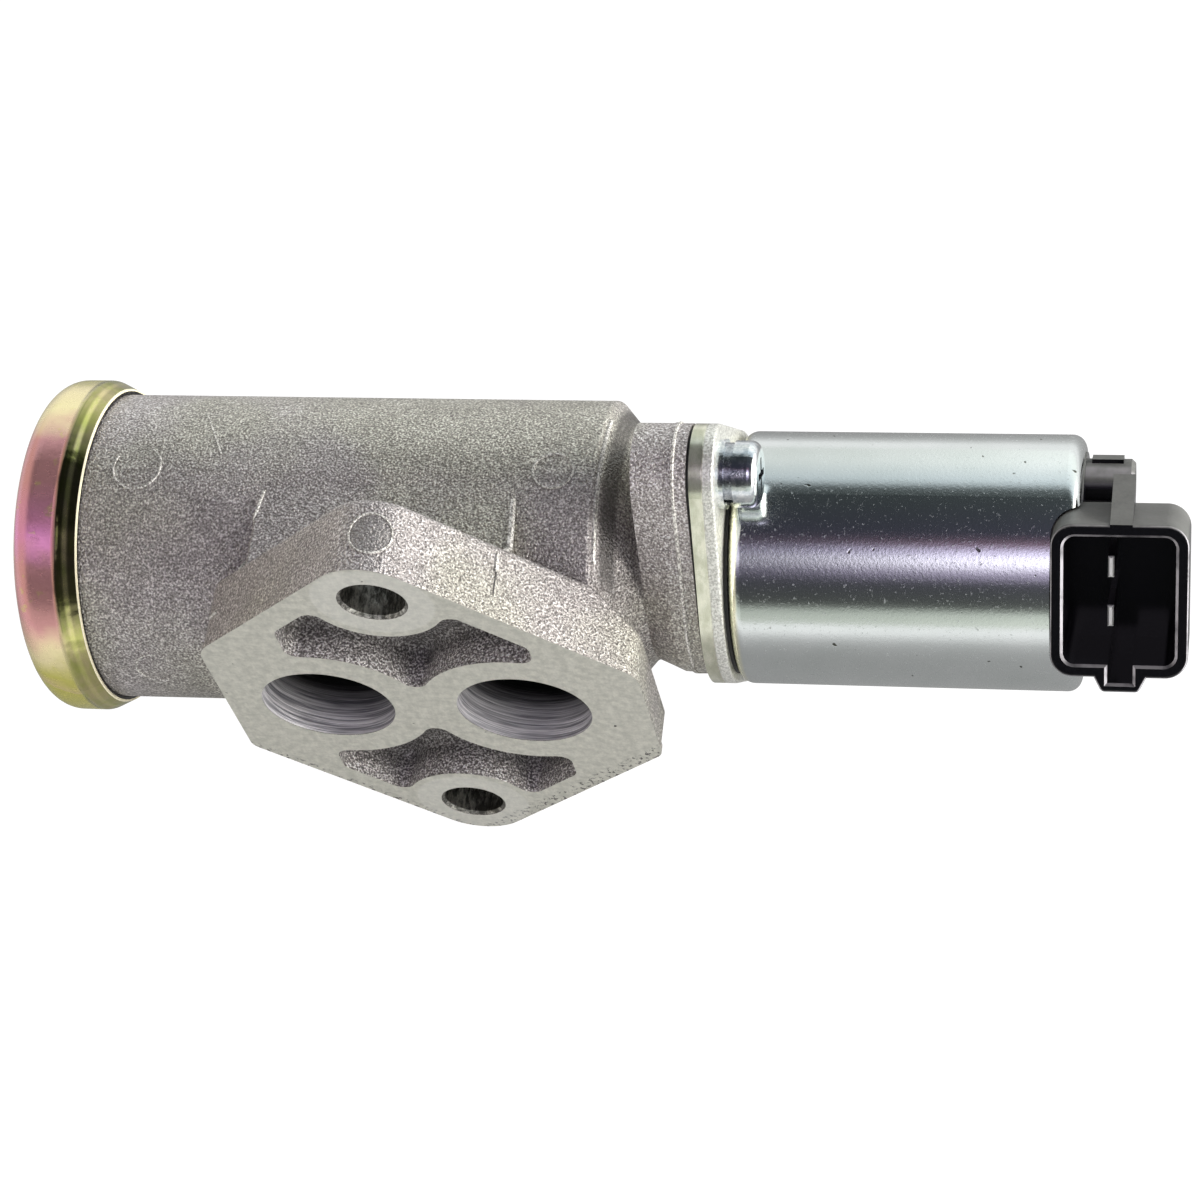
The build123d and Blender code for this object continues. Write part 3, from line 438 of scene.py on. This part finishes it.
def blasted_skin(graph, place, grain):
    """Colour of the shot-blasted skin, with stains, dirt, the sunk pin mark, painted light on the barrel's
    back and neck, and painted shade in the groove.
    """
    x, y, _ = graph.axes(place)
    skin = graph.ramp(grain, [
        (0.33, (0.23, 0.215, 0.20, 1)),
        (0.46, (0.42, 0.395, 0.37, 1)),
        (0.56, (0.55, 0.525, 0.49, 1)),
        (0.67, (0.93, 0.90, 0.855, 1)),
    ])
    blotch = graph.noise(place, 7.0 * MM, 3.0, 0.55)
    skin = graph.tinted(skin, graph.mix(graph.step(blotch, 0.35, 0.65), grey(0.93), grey(1.05)))
    stain = graph.step(graph.noise(place, 26.0 * MM), 0.4, 0.6)
    skin = graph.tinted(skin, graph.mix(stain, (1.0, 0.98, 1.03, 1), (1.0, 1.01, 0.96, 1)))
    dirt = graph.step(graph.noise(place, 1.0 * MM, 2.0, 0.6), 0.29, 0.25)
    skin = graph.mix(dirt, skin, (0.20, 0.18, 0.17, 1))

    mark = graph.add("ShaderNodeVectorMath", operation="DISTANCE")
    graph.put(mark.inputs[0], place)
    mark.inputs[1].default_value = TIP_MARK
    sunk = graph.step(mark.outputs["Value"], TIP_MARK_R, TIP_MARK_R - 0.3 * MM, 0.0, 0.55)
    skin = graph.mix(sunk, skin, (0.26, 0.25, 0.24, 1))

    on_flange = graph.step(y, FLANGE_DEPTH + 1.5 * MM, FLANGE_DEPTH)
    # Painted light: the barrel is lighter towards its back than near the face, and the neck lighter still
    painted_light = graph.lerp(on_flange, graph.step(y, 24.0 * MM, 36.0 * MM, 0.91, 1.13), 1.0)
    painted_light = graph.lerp(graph.step(x, NECK_X, NECK_X - 2.0 * MM), 1.18, painted_light)
    skin = graph.tinted(skin, graph.tone(painted_light))
    # Painted shade: the groove behind the bright ridge is darkened
    off_groove = graph.absolute(graph.minus(x, GROOVE_X))
    groove = graph.times(
        graph.step(off_groove, 1.3 * MM, 0.5 * MM), graph.step(y, FLANGE_DEPTH, FLANGE_DEPTH + 3.0 * MM), 0.75
    )
    return graph.mix(groove, skin, (0.10, 0.095, 0.09, 1))


def milled_face(graph, place):
    """Colour of the milled face, its nicks, and the cutter's chatter near its right end."""
    x, _, z = graph.axes(place)
    mottle = graph.noise(place, 1.4 * MM, 5.0, 0.7)
    face = graph.mix(graph.step(mottle, 0.3, 0.7), (0.50, 0.50, 0.44, 1), (0.74, 0.73, 0.645, 1))
    cutter = graph.noise(graph.scaled(place, (4.0, 1.0, 1.0)), 1.5 * MM, 4.0, 0.65)
    face = graph.mix(graph.step(cutter, 0.35, 0.70, 0.25, 0.0), face, (0.42, 0.42, 0.37, 1))
    flecks = graph.times(
        graph.step(edge_gap(graph, x, z), 28.0 * MM, 28.9 * MM),
        graph.step(graph.noise(place, 0.8 * MM, 3.0, 0.7), 0.54, 0.60),
        graph.step(z, 4.0 * MM, -4.0 * MM),
    )
    nicks = graph.step(graph.noise(place, 1.1 * MM, 1.0), 0.235, 0.19)
    face = graph.mix(graph.larger(nicks, flecks), face, (0.09, 0.085, 0.08, 1))
    seated = graph.step(bolt_gap(graph, x, z), BOLT_SEAT_R + 0.4 * MM, BOLT_SEAT_R, 0.0, 0.25)
    face = graph.mix(seated, face, (0.90, 0.90, 0.86, 1))
    chatter = graph.noise(graph.scaled(place, (1.0, 1.0, 0.25)), 0.7 * MM, 1.0, 0.5, 0.4)
    chatter = graph.times(chatter, graph.step(x, 20.0 * MM, 26.0 * MM))
    return face, nicks, chatter


def cast_aluminium():
    """Shot-blasted casting with a milled face, bored ports and grainy hollows, with painted shade deep in the
    hollows, ports and bolt holes.
    """
    material, graph = new_material("cast_aluminium")
    place = graph.place()
    y = graph.axes(place)[1]
    milled, port, bolt, hollow = cast_zones(graph, place)

    grain = graph.noise(place, 0.30 * MM, 1.0)
    pitted = graph.ramp(grain, [
        (0.33, (0.14, 0.13, 0.125, 1)),
        (0.50, (0.34, 0.32, 0.31, 1)),
        (0.66, (1.0, 0.96, 0.94, 1)),
    ])
    # Painted shade and light: the hollows are darker deeper in and lighter near the face
    pitted = graph.tinted(pitted, graph.tone(graph.step(y, 5.5 * MM, 0.5 * MM, 0.45, 1.35)))
    face, nicks, chatter = milled_face(graph, place)
    rings = graph.noise(graph.scaled(place, (0.03, 1.0, 0.03)), 0.50 * MM, 3.0, 0.7)
    bored = graph.mix(graph.step(rings, 0.35, 0.65), (0.26, 0.255, 0.28, 1), (1.0, 0.98, 1.0, 1))
    # Painted shade and light: the ports are near black deep in and lighter near their mouths
    bored = graph.tinted(bored, graph.tone(graph.step(y, 8.0 * MM, 0.5 * MM, 0.01, 1.25)))
    streaks = graph.noise(graph.scaled(place, (1.0, 0.35, 1.0)), 0.9 * MM, 4.0, 0.75)
    drilled = graph.mix(graph.step(streaks, 0.40, 0.66), (0.16, 0.155, 0.14, 1), (0.85, 0.83, 0.77, 1))
    # Painted shade: the bolt holes are darker deeper in
    drilled = graph.tinted(drilled, graph.tone(graph.step(y, 6.0 * MM, 0.5 * MM, 0.35, 1.0)))
    colour = blasted_skin(graph, place, grain)
    for zone, zone_colour in ((hollow, pitted), (milled, face), (port, bored), (bolt, drilled)):
        colour = graph.mix(zone, colour, zone_colour)

    smooth = graph.larger(graph.larger(milled, port), bolt)
    specks = graph.noise(place, 0.42 * MM, 2.0, 0.7)
    height = graph.plus(grain, graph.times(specks, 0.7))
    height = graph.times(height, graph.step(smooth, 1.0, 0.0, 0.03, 1.0))
    height = graph.plus(height, graph.times(rings, port, 0.6))
    height = graph.plus(height, graph.times(chatter, milled, 0.15))
    height = graph.plus(height, graph.times(streaks, bolt, 0.8))
    height = graph.minus(height, graph.times(nicks, milled))
    roughness = graph.step(smooth, 0.0, 1.0, 0.38, 0.34)
    dulled = graph.larger(graph.times(hollow, 0.6), graph.larger(milled, port))
    metallic = graph.larger(graph.step(dulled, 0.0, 1.0, 0.75, 0.35), bolt)
    graph.surface(colour, metallic, roughness, graph.bump(height, 0.24 * MM))
    return material


def over_cap(degrees):
    """Place on a ramp of the graph's turn, for an angle over the cap from the mounting face's side."""
    return turn_place(180.0 - degrees)


def cap_film(graph, place, turn, from_axis, patches):
    """Colour of the film: bands round the cap, olive patches, a rosy painted highlight along the rim and
    pools on the flat end.
    """
    gold = (0.82, 0.68, 0.30, 1)
    olive = (0.72, 0.68, 0.16, 1)
    rose = (0.74, 0.36, 0.36, 1)
    magenta = (0.86, 0.34, 0.58, 1)
    cream = (1.0, 0.88, 0.50, 1)
    dark_olive = (0.54, 0.50, 0.14, 1)
    copper_rose = (0.84, 0.50, 0.38, 1)
    wander = graph.noise(place, 12.0 * MM, 3.0, 0.6)
    film = graph.plus(turn, graph.math("MULTIPLY_ADD", wander, 0.10, -0.05))
    bands = [
        (172, gold), (142, dark_olive), (124, cream), (112, cream), (100, rose), (84, rose),
        (64, magenta), (54, rose), (34, rose), (20, cream), (8, olive),
    ]
    stops = [(over_cap(degrees), colour) for degrees, colour in bands]
    colour = graph.ramp(graph.math("FRACT", film), [(0.0, olive), *stops, (1.0, gold)])
    colour = graph.mix(graph.step(patches, 0.60, 0.68, 0.0, 0.4), colour, olive)

    x = graph.axes(place)[0]
    # Painted highlight: the cap's left corner is painted a pale rose
    rim = graph.step(x, CAP_LEFT_X + 0.9 * MM, CAP_LEFT_X + 0.5 * MM)
    rim = graph.times(rim, graph.step(from_axis, HEM_R - 5.5 * MM, HEM_R - 3.5 * MM))
    colour = graph.mix(rim, colour, (0.95, 0.62, 0.52, 1))
    outward = graph.add("ShaderNodeCombineXYZ")
    graph.put(outward.inputs["X"], from_axis)
    drawn = graph.noise(outward.outputs[0], 5.0 * MM)
    pooled = graph.math("MULTIPLY_ADD", drawn, 0.35, graph.times(wander, 0.65))
    pool = graph.ramp(pooled, [(0.30, olive), (0.48, gold), (0.66, copper_rose)])
    flat = graph.step(from_axis, HEM_R - 2.5 * MM, HEM_R - 4.5 * MM)
    return graph.mix(flat, colour, pool)


def hem_bronze(graph, place, turn):
    """Colour of the rolled edge, with shade painted dark over its top and one painted highlight as a light
    streak round it.
    """
    oil = graph.noise(graph.scaled(place, (3.0, 1.0, 1.0)), 4.0 * MM, 3.0, 0.6)
    bronze = graph.mix(graph.step(oil, 0.3, 0.7), (0.62, 0.64, 0.20, 1), (0.80, 0.70, 0.36, 1))
    # Painted shade: the rolled edge is darker over its top
    hem_shade_stops = [(160, 1.0), (120, 0.62), (100, 0.20), (60, 0.14), (38, 0.30), (26, 0.9)]
    hem_shade = graph.ramp(turn, [(over_cap(degrees), grey(shade)) for degrees, shade in hem_shade_stops])
    # Painted highlight: one light streak round the rolled edge
    off_highlight = graph.absolute(graph.minus(graph.axes(place)[0], HEM_HIGHLIGHT_X))
    hem_shade = graph.mix(graph.step(off_highlight, 0.5 * MM, 0.1 * MM, 0.0, 0.5), hem_shade, grey(1.4))
    return graph.tinted(bronze, hem_shade)


def chromated_steel():
    """Yellow passivated zinc, whose film shines gold, rose and green."""
    material, graph = new_material("chromated_steel")
    place = graph.place()
    x, y, z = graph.axes(place)
    across = graph.minus(y, AXIS_Y)
    turn = graph.turn(across, z)
    from_axis = graph.radius(across, z)
    patches = graph.noise(place, 2.6 * MM, 3.0, 0.6)
    hem = graph.step(x, HEM_LEFT_X - 0.8 * MM, HEM_LEFT_X + 0.1 * MM)
    end = graph.step(x, HEM_RIGHT_X - 0.25 * MM, HEM_RIGHT_X - 0.15 * MM)
    lip = graph.times(end, graph.step(from_axis, HEM_R - 0.22 * MM, HEM_R - 0.14 * MM))
    colour = cap_film(graph, place, turn, from_axis, patches)
    colour = graph.mix(hem, colour, hem_bronze(graph, place, turn))
    # Painted shadow: the cap's last strip before the body is painted near black
    colour = graph.mix(end, colour, (0.05, 0.045, 0.04, 1))
    # Painted highlight: a thin cream line along the rolled edge's outer corner
    colour = graph.mix(lip, colour, (1.0, 0.92, 0.66, 1))

    scuffs = graph.noise(graph.scaled(place, (1.0, 3.0, 3.0)), 1.6 * MM, 3.0, 0.7)
    roughness = graph.step(scuffs, 0.3, 0.8, 0.20, 0.30)
    roughness = graph.times(roughness, graph.step(hem, 0.0, 1.0, 1.0, 0.7))
    metallic = graph.minus(graph.step(hem, 0.0, 1.0, 0.70, 1.0), graph.times(lip, 0.8))
    waves = graph.noise(graph.scaled(place, (0.6, 1.0, 1.0)), 6.0 * MM)
    height = graph.math("MULTIPLY_ADD", patches, 0.10, graph.times(waves, hem))
    graph.surface(colour, metallic, roughness, graph.bump(height, 0.5 * MM))
    return material


def zinc_plate():
    """Bright clear zinc with small specks, pits, hair scratches and a pale painted highlight along its rim.
    """
    material, graph = new_material("zinc_plate")
    place = graph.place()
    x = graph.axes(place)[0]
    cloud = graph.noise(place, 7.0 * MM, 3.0, 0.6)
    colour = graph.mix(cloud, (0.74, 0.79, 0.77, 1), (0.88, 0.91, 0.91, 1))
    # Painted highlight: the case's rolled left rim is painted paler and yellower
    rim = graph.step(x, CASE_LEFT + 1.6 * MM, CASE_LEFT + 1.0 * MM)
    colour = graph.mix(rim, colour, (1.0, 1.0, 0.80, 1))
    grain = graph.noise(place, 0.45 * MM, 3.0, 0.75)
    speck = graph.step(grain, 0.60, 0.70)
    pits = graph.step(graph.noise(place, 1.5 * MM, 1.0), 0.25, 0.20)
    colour = graph.mix(pits, colour, (0.12, 0.12, 0.10, 1))
    scratches = graph.noise(graph.scaled(place, (6.0, 1.0, 1.5)), 1.2 * MM, 2.0, 0.6, 1.5)
    dull = graph.larger(speck, graph.step(scratches, 0.69, 0.75))
    roughness = graph.math("MULTIPLY_ADD", dull, 0.35, 0.15)
    height = graph.minus(graph.times(grain, 0.6), pits)
    graph.surface(colour, 1.0, roughness, graph.bump(height, 0.018 * MM))
    return material


def metal(name, dark, light, roughness, grain=0.6 * MM, depth=0.01 * MM, stretch=(1.0, 1.0, 1.0)):
    """Plain metal with an uneven tone and a fine grain."""
    material, graph = new_material(name)
    texture = graph.noise(graph.scaled(graph.place(), stretch), grain, 4.0, 0.6)
    colour = graph.mix(graph.step(texture, 0.3, 0.7), dark, light)
    spread = graph.step(texture, 0.3, 0.7, roughness * 0.8, roughness * 1.3)
    graph.surface(colour, 1.0, spread, graph.bump(texture, depth))
    return material


def plastic(name, dark, light, roughness, grain=0.5 * MM, depth=0.01 * MM):
    """Moulded plastic, rubber or foam with a fine grain."""
    material, graph = new_material(name)
    texture = graph.noise(graph.place(), grain, 3.0, 0.6)
    colour = graph.mix(texture, dark, light)
    spread = graph.step(texture, 0.3, 0.7, roughness * 0.85, roughness * 1.2)
    graph.surface(colour, 0.0, spread, graph.bump(texture, depth))
    return material


def black_plastic():
    """Glossy black moulding, greyed on the sides away from the mouth partly by a whitish haze and partly by a
    painted sheen on faces turned up and back, with a painted highlight on the slanted faces round the mouth.
    """
    material, graph = new_material("black_plastic")
    place = graph.place()
    _, y, z = graph.axes(place)
    behind = graph.times(graph.plus(graph.minus(y, AXIS_Y), z), SLANT)
    behind = graph.step(behind, SHROUD_BACK_W, SHROUD_BACK_W + MM)
    normal = graph.add("ShaderNodeNewGeometry").outputs["Normal"]
    normal_x, normal_y, normal_z = graph.axes(normal)
    rear = graph.times(graph.plus(normal_y, normal_z), SLANT)
    mouthward = graph.times(graph.minus(normal_z, normal_y), SLANT)
    # Partly a whitish haze, partly a painted sheen: faces turned up and back, behind the mouth, are grey
    bloom_and_sheen = graph.times(graph.step(rear, 0.08, 0.50), behind)
    # Painted highlight: the slanted faces round the mouth's edges are grey
    edge_highlight = graph.times(graph.step(mouthward, 0.45, 0.65), graph.step(mouthward, 0.92, 0.82))
    mould = graph.noise(place, 0.45 * MM, 3.0, 0.65)
    smear = graph.noise(place, 4.0 * MM, 3.0, 0.6)
    black = graph.mix(mould, (0.0015, 0.0015, 0.002, 1), (0.006, 0.006, 0.008, 1))
    ashen = graph.mix(mould, (0.075, 0.076, 0.070, 1), (0.15, 0.15, 0.142, 1))
    ashen = graph.mix(graph.step(smear, 0.35, 0.65, 0.0, 0.3), ashen, (0.19, 0.19, 0.18, 1))
    colour = graph.mix(bloom_and_sheen, black, ashen)
    flanks = graph.step(graph.absolute(normal_x), 0.3, 0.6, 0.35, 1.0)
    edge_highlight = graph.times(edge_highlight, flanks, graph.step(smear, 0.3, 0.6, 0.3, 1.0))
    colour = graph.mix(edge_highlight, colour, (0.50, 0.48, 0.50, 1))
    roughness = graph.step(bloom_and_sheen, 0.0, 1.0, 0.14, 0.42)
    height = graph.times(mould, graph.step(bloom_and_sheen, 0.0, 1.0, 0.25, 1.0))
    graph.surface(colour, 0.0, roughness, graph.bump(height, 0.012 * MM), Specular_IOR_Level=0.3)
    return material


def plate_steel():
    """Zinc-plated pressing: satin near the casting, torn and bright near the case."""
    material, graph = new_material("plate_steel")
    place = graph.place()
    x = graph.axes(place)[0]
    torn = graph.step(x, PLATE_TEAR_X - 0.2 * MM, PLATE_TEAR_X + 0.2 * MM)
    fine = graph.noise(graph.scaled(place, (2.0, 1.0, 1.0)), 3.0 * MM, 3.0)
    coarse = graph.noise(place, 0.32 * MM, 2.0, 0.6)
    satin = graph.mix(graph.step(fine, 0.3, 0.7), (0.66, 0.67, 0.52, 1), (0.92, 0.92, 0.76, 1))
    rough = graph.mix(graph.step(coarse, 0.35, 0.65), (0.58, 0.58, 0.53, 1), (1.0, 1.0, 0.94, 1))
    colour = graph.mix(torn, satin, rough)
    height = graph.times(coarse, torn)
    metallic = graph.step(torn, 0.0, 1.0, 0.85, 0.60)
    graph.surface(colour, metallic, graph.step(torn, 0.0, 1.0, 0.20, 0.30), graph.bump(height, 0.12 * MM))
    return material


def blade_tin():
    """Tinned contact blades, bright at their tips, with shade painted near black down in the socket."""
    material, graph = new_material("tinned_brass")
    place = graph.place()
    _, y, z = graph.axes(place)
    reach = graph.times(graph.minus(graph.plus(z, AXIS_Y), y), SLANT)
    tip = graph.step(reach, BLADE_TIP - 0.9 * MM, BLADE_TIP - 0.5 * MM)
    normal_x = graph.axes(graph.add("ShaderNodeNewGeometry").outputs["Normal"])[0]
    tip = graph.times(tip, graph.step(graph.absolute(normal_x), 0.85, 0.60))
    wipe = graph.noise(graph.scaled(place, (1.0, 3.0, 3.0)), 0.8 * MM, 3.0, 0.6)
    tin = graph.mix(wipe, (0.88, 0.87, 0.84, 1), (1.0, 1.0, 0.97, 1))
    # Painted shade: the blades are near black down in the socket and on faces turned along the valve axis
    colour = graph.mix(tip, (0.035, 0.035, 0.035, 1), tin)
    metallic = graph.step(tip, 0.0, 1.0, 0.9, 0.25)
    graph.surface(colour, metallic, 0.30, graph.bump(wipe, 0.01 * MM))
    return material


def casting_ridge_wear_and_highlight():
    """Ridges of the casting, rubbed bright between grey grains, their brightness partly a painted highlight.
    """
    material, graph = new_material("casting_ridge_wear_and_highlight")
    grain = graph.noise(graph.place(), 0.35 * MM, 2.0, 0.6)
    colour = graph.mix(graph.step(grain, 0.42, 0.58), (0.34, 0.325, 0.30, 1), (0.92, 0.90, 0.85, 1))
    graph.surface(colour, 0.40, 0.42, graph.bump(grain, 0.16 * MM))
    return material


casting_skin = BVHTree.FromObject(nodes["valve_body"], bpy.context.evaluated_depsgraph_get())


def seat(place, outward):
    """Point of the casting's skin under a place near it, and the skin's normal there."""
    point, normal, _, _ = casting_skin.ray_cast(place + RAY_REACH * outward, -outward)
    return point, normal


def on_barrel(x, degrees):
    """Point over the valve axis, with the angle from the mounting face."""
    turn = math.radians(degrees)
    outward = Vector((0.0, -math.cos(turn), math.sin(turn)))
    return seat(Vector((x, AXIS_Y, 0.0)) + BARREL_R * outward, outward)


def on_tip(turn, y):
    """Point on the flange's rounded upper tip, with the angle towards +X."""
    outward = Vector((math.sin(turn), 0.0, math.cos(turn)))
    return seat(Vector((TIP_X, y, TIP_Z)) + TIP_R * outward, outward)


def on_upper_edge(along, y):
    """Point on the flange's right upper side."""
    outward = Vector((EDGE_X, 0.0, EDGE_Z))
    sideways = Vector((EDGE_Z, 0.0, -EDGE_X))
    return seat(UPPER_EDGE * outward + along * sideways + Vector((0.0, y, 0.0)), outward)


def bead(name, stations, width, height):
    """Low raised line with closed ends, along stations of (point, normal) on the casting."""
    vertices = []
    faces = []
    last = len(stations) - 1
    for index, (point, normal) in enumerate(stations):
        ahead = stations[min(index + 1, last)][0]
        behind = stations[max(index - 1, 0)][0]
        side = normal.cross(ahead - behind).normalized() * width / 2
        foot = point - height * normal
        crest = point + height * normal
        vertices += [foot - side, crest - CREST_SHARE * side, crest + CREST_SHARE * side, foot + side]
    for index in range(last):
        here = 4 * index
        for k in range(4):
            after = (k + 1) % 4
            faces.append((here + k, here + after, here + 4 + after, here + 4 + k))
    faces.append((3, 2, 1, 0))
    faces.append(tuple(4 * last + k for k in range(4)))
    mesh = bpy.data.meshes.new(name)
    mesh.from_pydata(vertices, [], faces)
    mesh.update()
    piece = bpy.data.objects.new(name, mesh)
    bpy.context.scene.collection.objects.link(piece)
    return piece


def arc(start, end, steps=48):
    """Angles from start to end, in degrees, as pairs of cosine and sine."""
    turns = [math.radians(start + (end - start) * k / steps) for k in range(steps + 1)]
    return [(math.cos(turn), math.sin(turn)) for turn in turns]


def barrel_ring(x, degrees, ring_r, start, end):
    """Ring left by an ejector pin on the barrel."""
    per_metre = math.degrees(1 / BARREL_R)
    return [on_barrel(x + ring_r * u, degrees + ring_r * v * per_metre) for u, v in arc(start, end)]


def barrel_line(start, end, steps=12):
    """Line on the barrel between two places of (x, degrees)."""
    shares = [k / steps for k in range(steps + 1)]
    return [
        on_barrel(start[0] + share * (end[0] - start[0]), start[1] + share * (end[1] - start[1]))
        for share in shares
    ]


def casting_marks(bright, dark):
    """Rings left by the ejector pins, parting lines and the ridges of the mould's joints."""
    tip_ring = [
        on_tip(TIP_MARK_TURN + TIP_MARK_R * u / TIP_R, TIP_MARK_Y + TIP_MARK_R * v) for u, v in arc(0, 360)
    ]
    seam = [on_upper_edge(SEAM_ALONG, SEAM_TOP_Y - SEAM_STEP * k) for k in range(7)]
    neck_line = [on_barrel(NECK_LINE_X, 175.0 - 3.0 * k) for k in range(62)]
    # Points on the casting, then the line's width and height in millimetres
    lines = {
        "mark_right": (barrel_ring(18.7 * MM, 91.9, 2.75 * MM, 60, 400), 0.42, 0.20),
        "mark_left": (barrel_ring(-40.1 * MM, 90.8, 3.4 * MM, 150, 420), 0.40, 0.14),
        "mark_lower": (barrel_ring(-38.6 * MM, 8.5, 3.0 * MM, 90, 290), 0.40, 0.14),
        "mark_tip": (tip_ring, 0.42, 0.16),
        "seam": (seam, 0.34, 0.12),
        "ridge_left": (barrel_line((-21.2 * MM, 82.0), (-23.1 * MM, 54.0)), 0.60, 0.20),
        "ridge_lower": (barrel_line((-26.4 * MM, 41.0), (-28.6 * MM, 36.0)), 0.55, 0.18),
        "ridge_right": (barrel_line((13.7 * MM, 80.0), (14.3 * MM, 56.0)), 0.90, 0.30),
        "scratch": (barrel_line((-32.7 * MM, 120.0), (-28.3 * MM, 96.6)), 0.34, 0.10),
        "shoulder": (barrel_line((RIDGE_X, 122.0), (RIDGE_X, 57.0), 40), 0.90, 0.30),
        "neck_line": (neck_line, 0.55, 0.12),
    }
    for name, (stations, width, height) in lines.items():
        piece = bead(name, stations, width * MM, height * MM)
        piece.data.materials.append(dark if name == "seam" else bright)
        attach(piece, "valve")


def sliding_spring(node, material):
    """Copy of a CAD spring in the scene's frame, with the given material, in place of the hidden CAD node."""
    spring = bpy.data.objects.new(node + "_coil", nodes[node].data.copy())
    bpy.context.scene.collection.objects.link(spring)
    spring.data.materials.clear()
    spring.data.materials.append(material)
    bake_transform(spring)
    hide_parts(node)


def paint(node, material):
    """Give a CAD node its material."""
    mesh = nodes[node].data
    if not mesh.materials:
        mesh.materials.append(material)
    for slot in nodes[node].material_slots:
        slot.material = material


bpy.context.scene.view_settings.view_transform = "Standard"
camera()
studio()
floor()
lamp("key", place=(0.85, 0.12, 0.24), size=0.4, power=10)
lamp("front", place=(0.12, -0.85, 0.26), size=0.5, power=2.6)

rubber = plastic("black_rubber", (0.012, 0.012, 0.012, 1), (0.03, 0.03, 0.03, 1), roughness=0.6)
seam_shadow = plastic("seam_shadow", (0.05, 0.048, 0.045, 1), (0.16, 0.15, 0.14, 1), roughness=0.6)
nylon = plastic(
    "spool_plastic", (0.60, 0.56, 0.46, 1), (0.72, 0.68, 0.58, 1), roughness=0.45, grain=0.9 * MM
)
open_foam = plastic(
    "foam", (0.01, 0.01, 0.01, 1), (0.06, 0.06, 0.06, 1), roughness=0.9, grain=0.9 * MM, depth=0.5 * MM
)
washer_zinc = metal(
    "washer_steel", (0.34, 0.37, 0.40, 1), (0.62, 0.65, 0.68, 1), roughness=0.22, depth=0.03 * MM
)
screw_zinc = metal(
    "screw_steel", (0.62, 0.68, 0.72, 1), (0.98, 1.0, 1.0, 1), roughness=0.13, grain=0.9 * MM, depth=0.03 * MM
)
turned_steel = metal(
    "machined_steel", (0.42, 0.42, 0.43, 1), (0.60, 0.60, 0.60, 1), roughness=0.32, grain=0.5 * MM,
    stretch=(3.0, 0.4, 0.4),
)
ground_rod = metal(
    "stainless", (0.60, 0.60, 0.61, 1), (0.74, 0.74, 0.75, 1), roughness=0.22, grain=0.4 * MM,
    stretch=(3.0, 0.4, 0.4),
)
spring_wire = metal("spring_steel", (0.30, 0.31, 0.33, 1), (0.48, 0.49, 0.50, 1), roughness=0.35)
brass = metal("brass", (0.60, 0.43, 0.18, 1), (0.78, 0.60, 0.30, 1), roughness=0.28, grain=0.8 * MM)
copper = metal(
    "copper_wire", (0.46, 0.19, 0.09, 1), (0.72, 0.34, 0.18, 1), roughness=0.35, grain=0.5 * MM,
    depth=0.08 * MM, stretch=(2.0, 0.1, 0.1),
)

casting_marks(casting_ridge_wear_and_highlight(), seam_shadow)
sliding_spring("return_spring", spring_wire)
sliding_spring("balance_spring", spring_wire)

LOOKS = {
    cast_aluminium(): ("valve_body",),
    chromated_steel(): ("silencer_cap",),
    zinc_plate(): ("solenoid_case",),
    plate_steel(): ("solenoid_plate",),
    black_plastic(): ("connector_housing",),
    rubber: ("cap_seal", "case_seal", "solenoid_gasket"),
    screw_zinc: ("solenoid_screws", "plain_washers"),
    washer_zinc: ("lock_washers",),
    blade_tin(): ("terminal_upper", "terminal_lower"),
    turned_steel: ("fixed_core", "armature", "rear_pole", "baffle_plate"),
    spring_wire: ("return_spring", "balance_spring", "poppet_clip"),
    ground_rod: ("valve_rod",),
    brass: ("valve_seat", "valve_poppet", "rod_bush", "armature_sleeve", "adjusting_plug"),
    copper: ("coil_winding",),
    nylon: ("coil_bobbin",),
    open_foam: ("silencer_foam",),
}
for look, names in LOOKS.items():
    for name in names:
        paint(name, look)
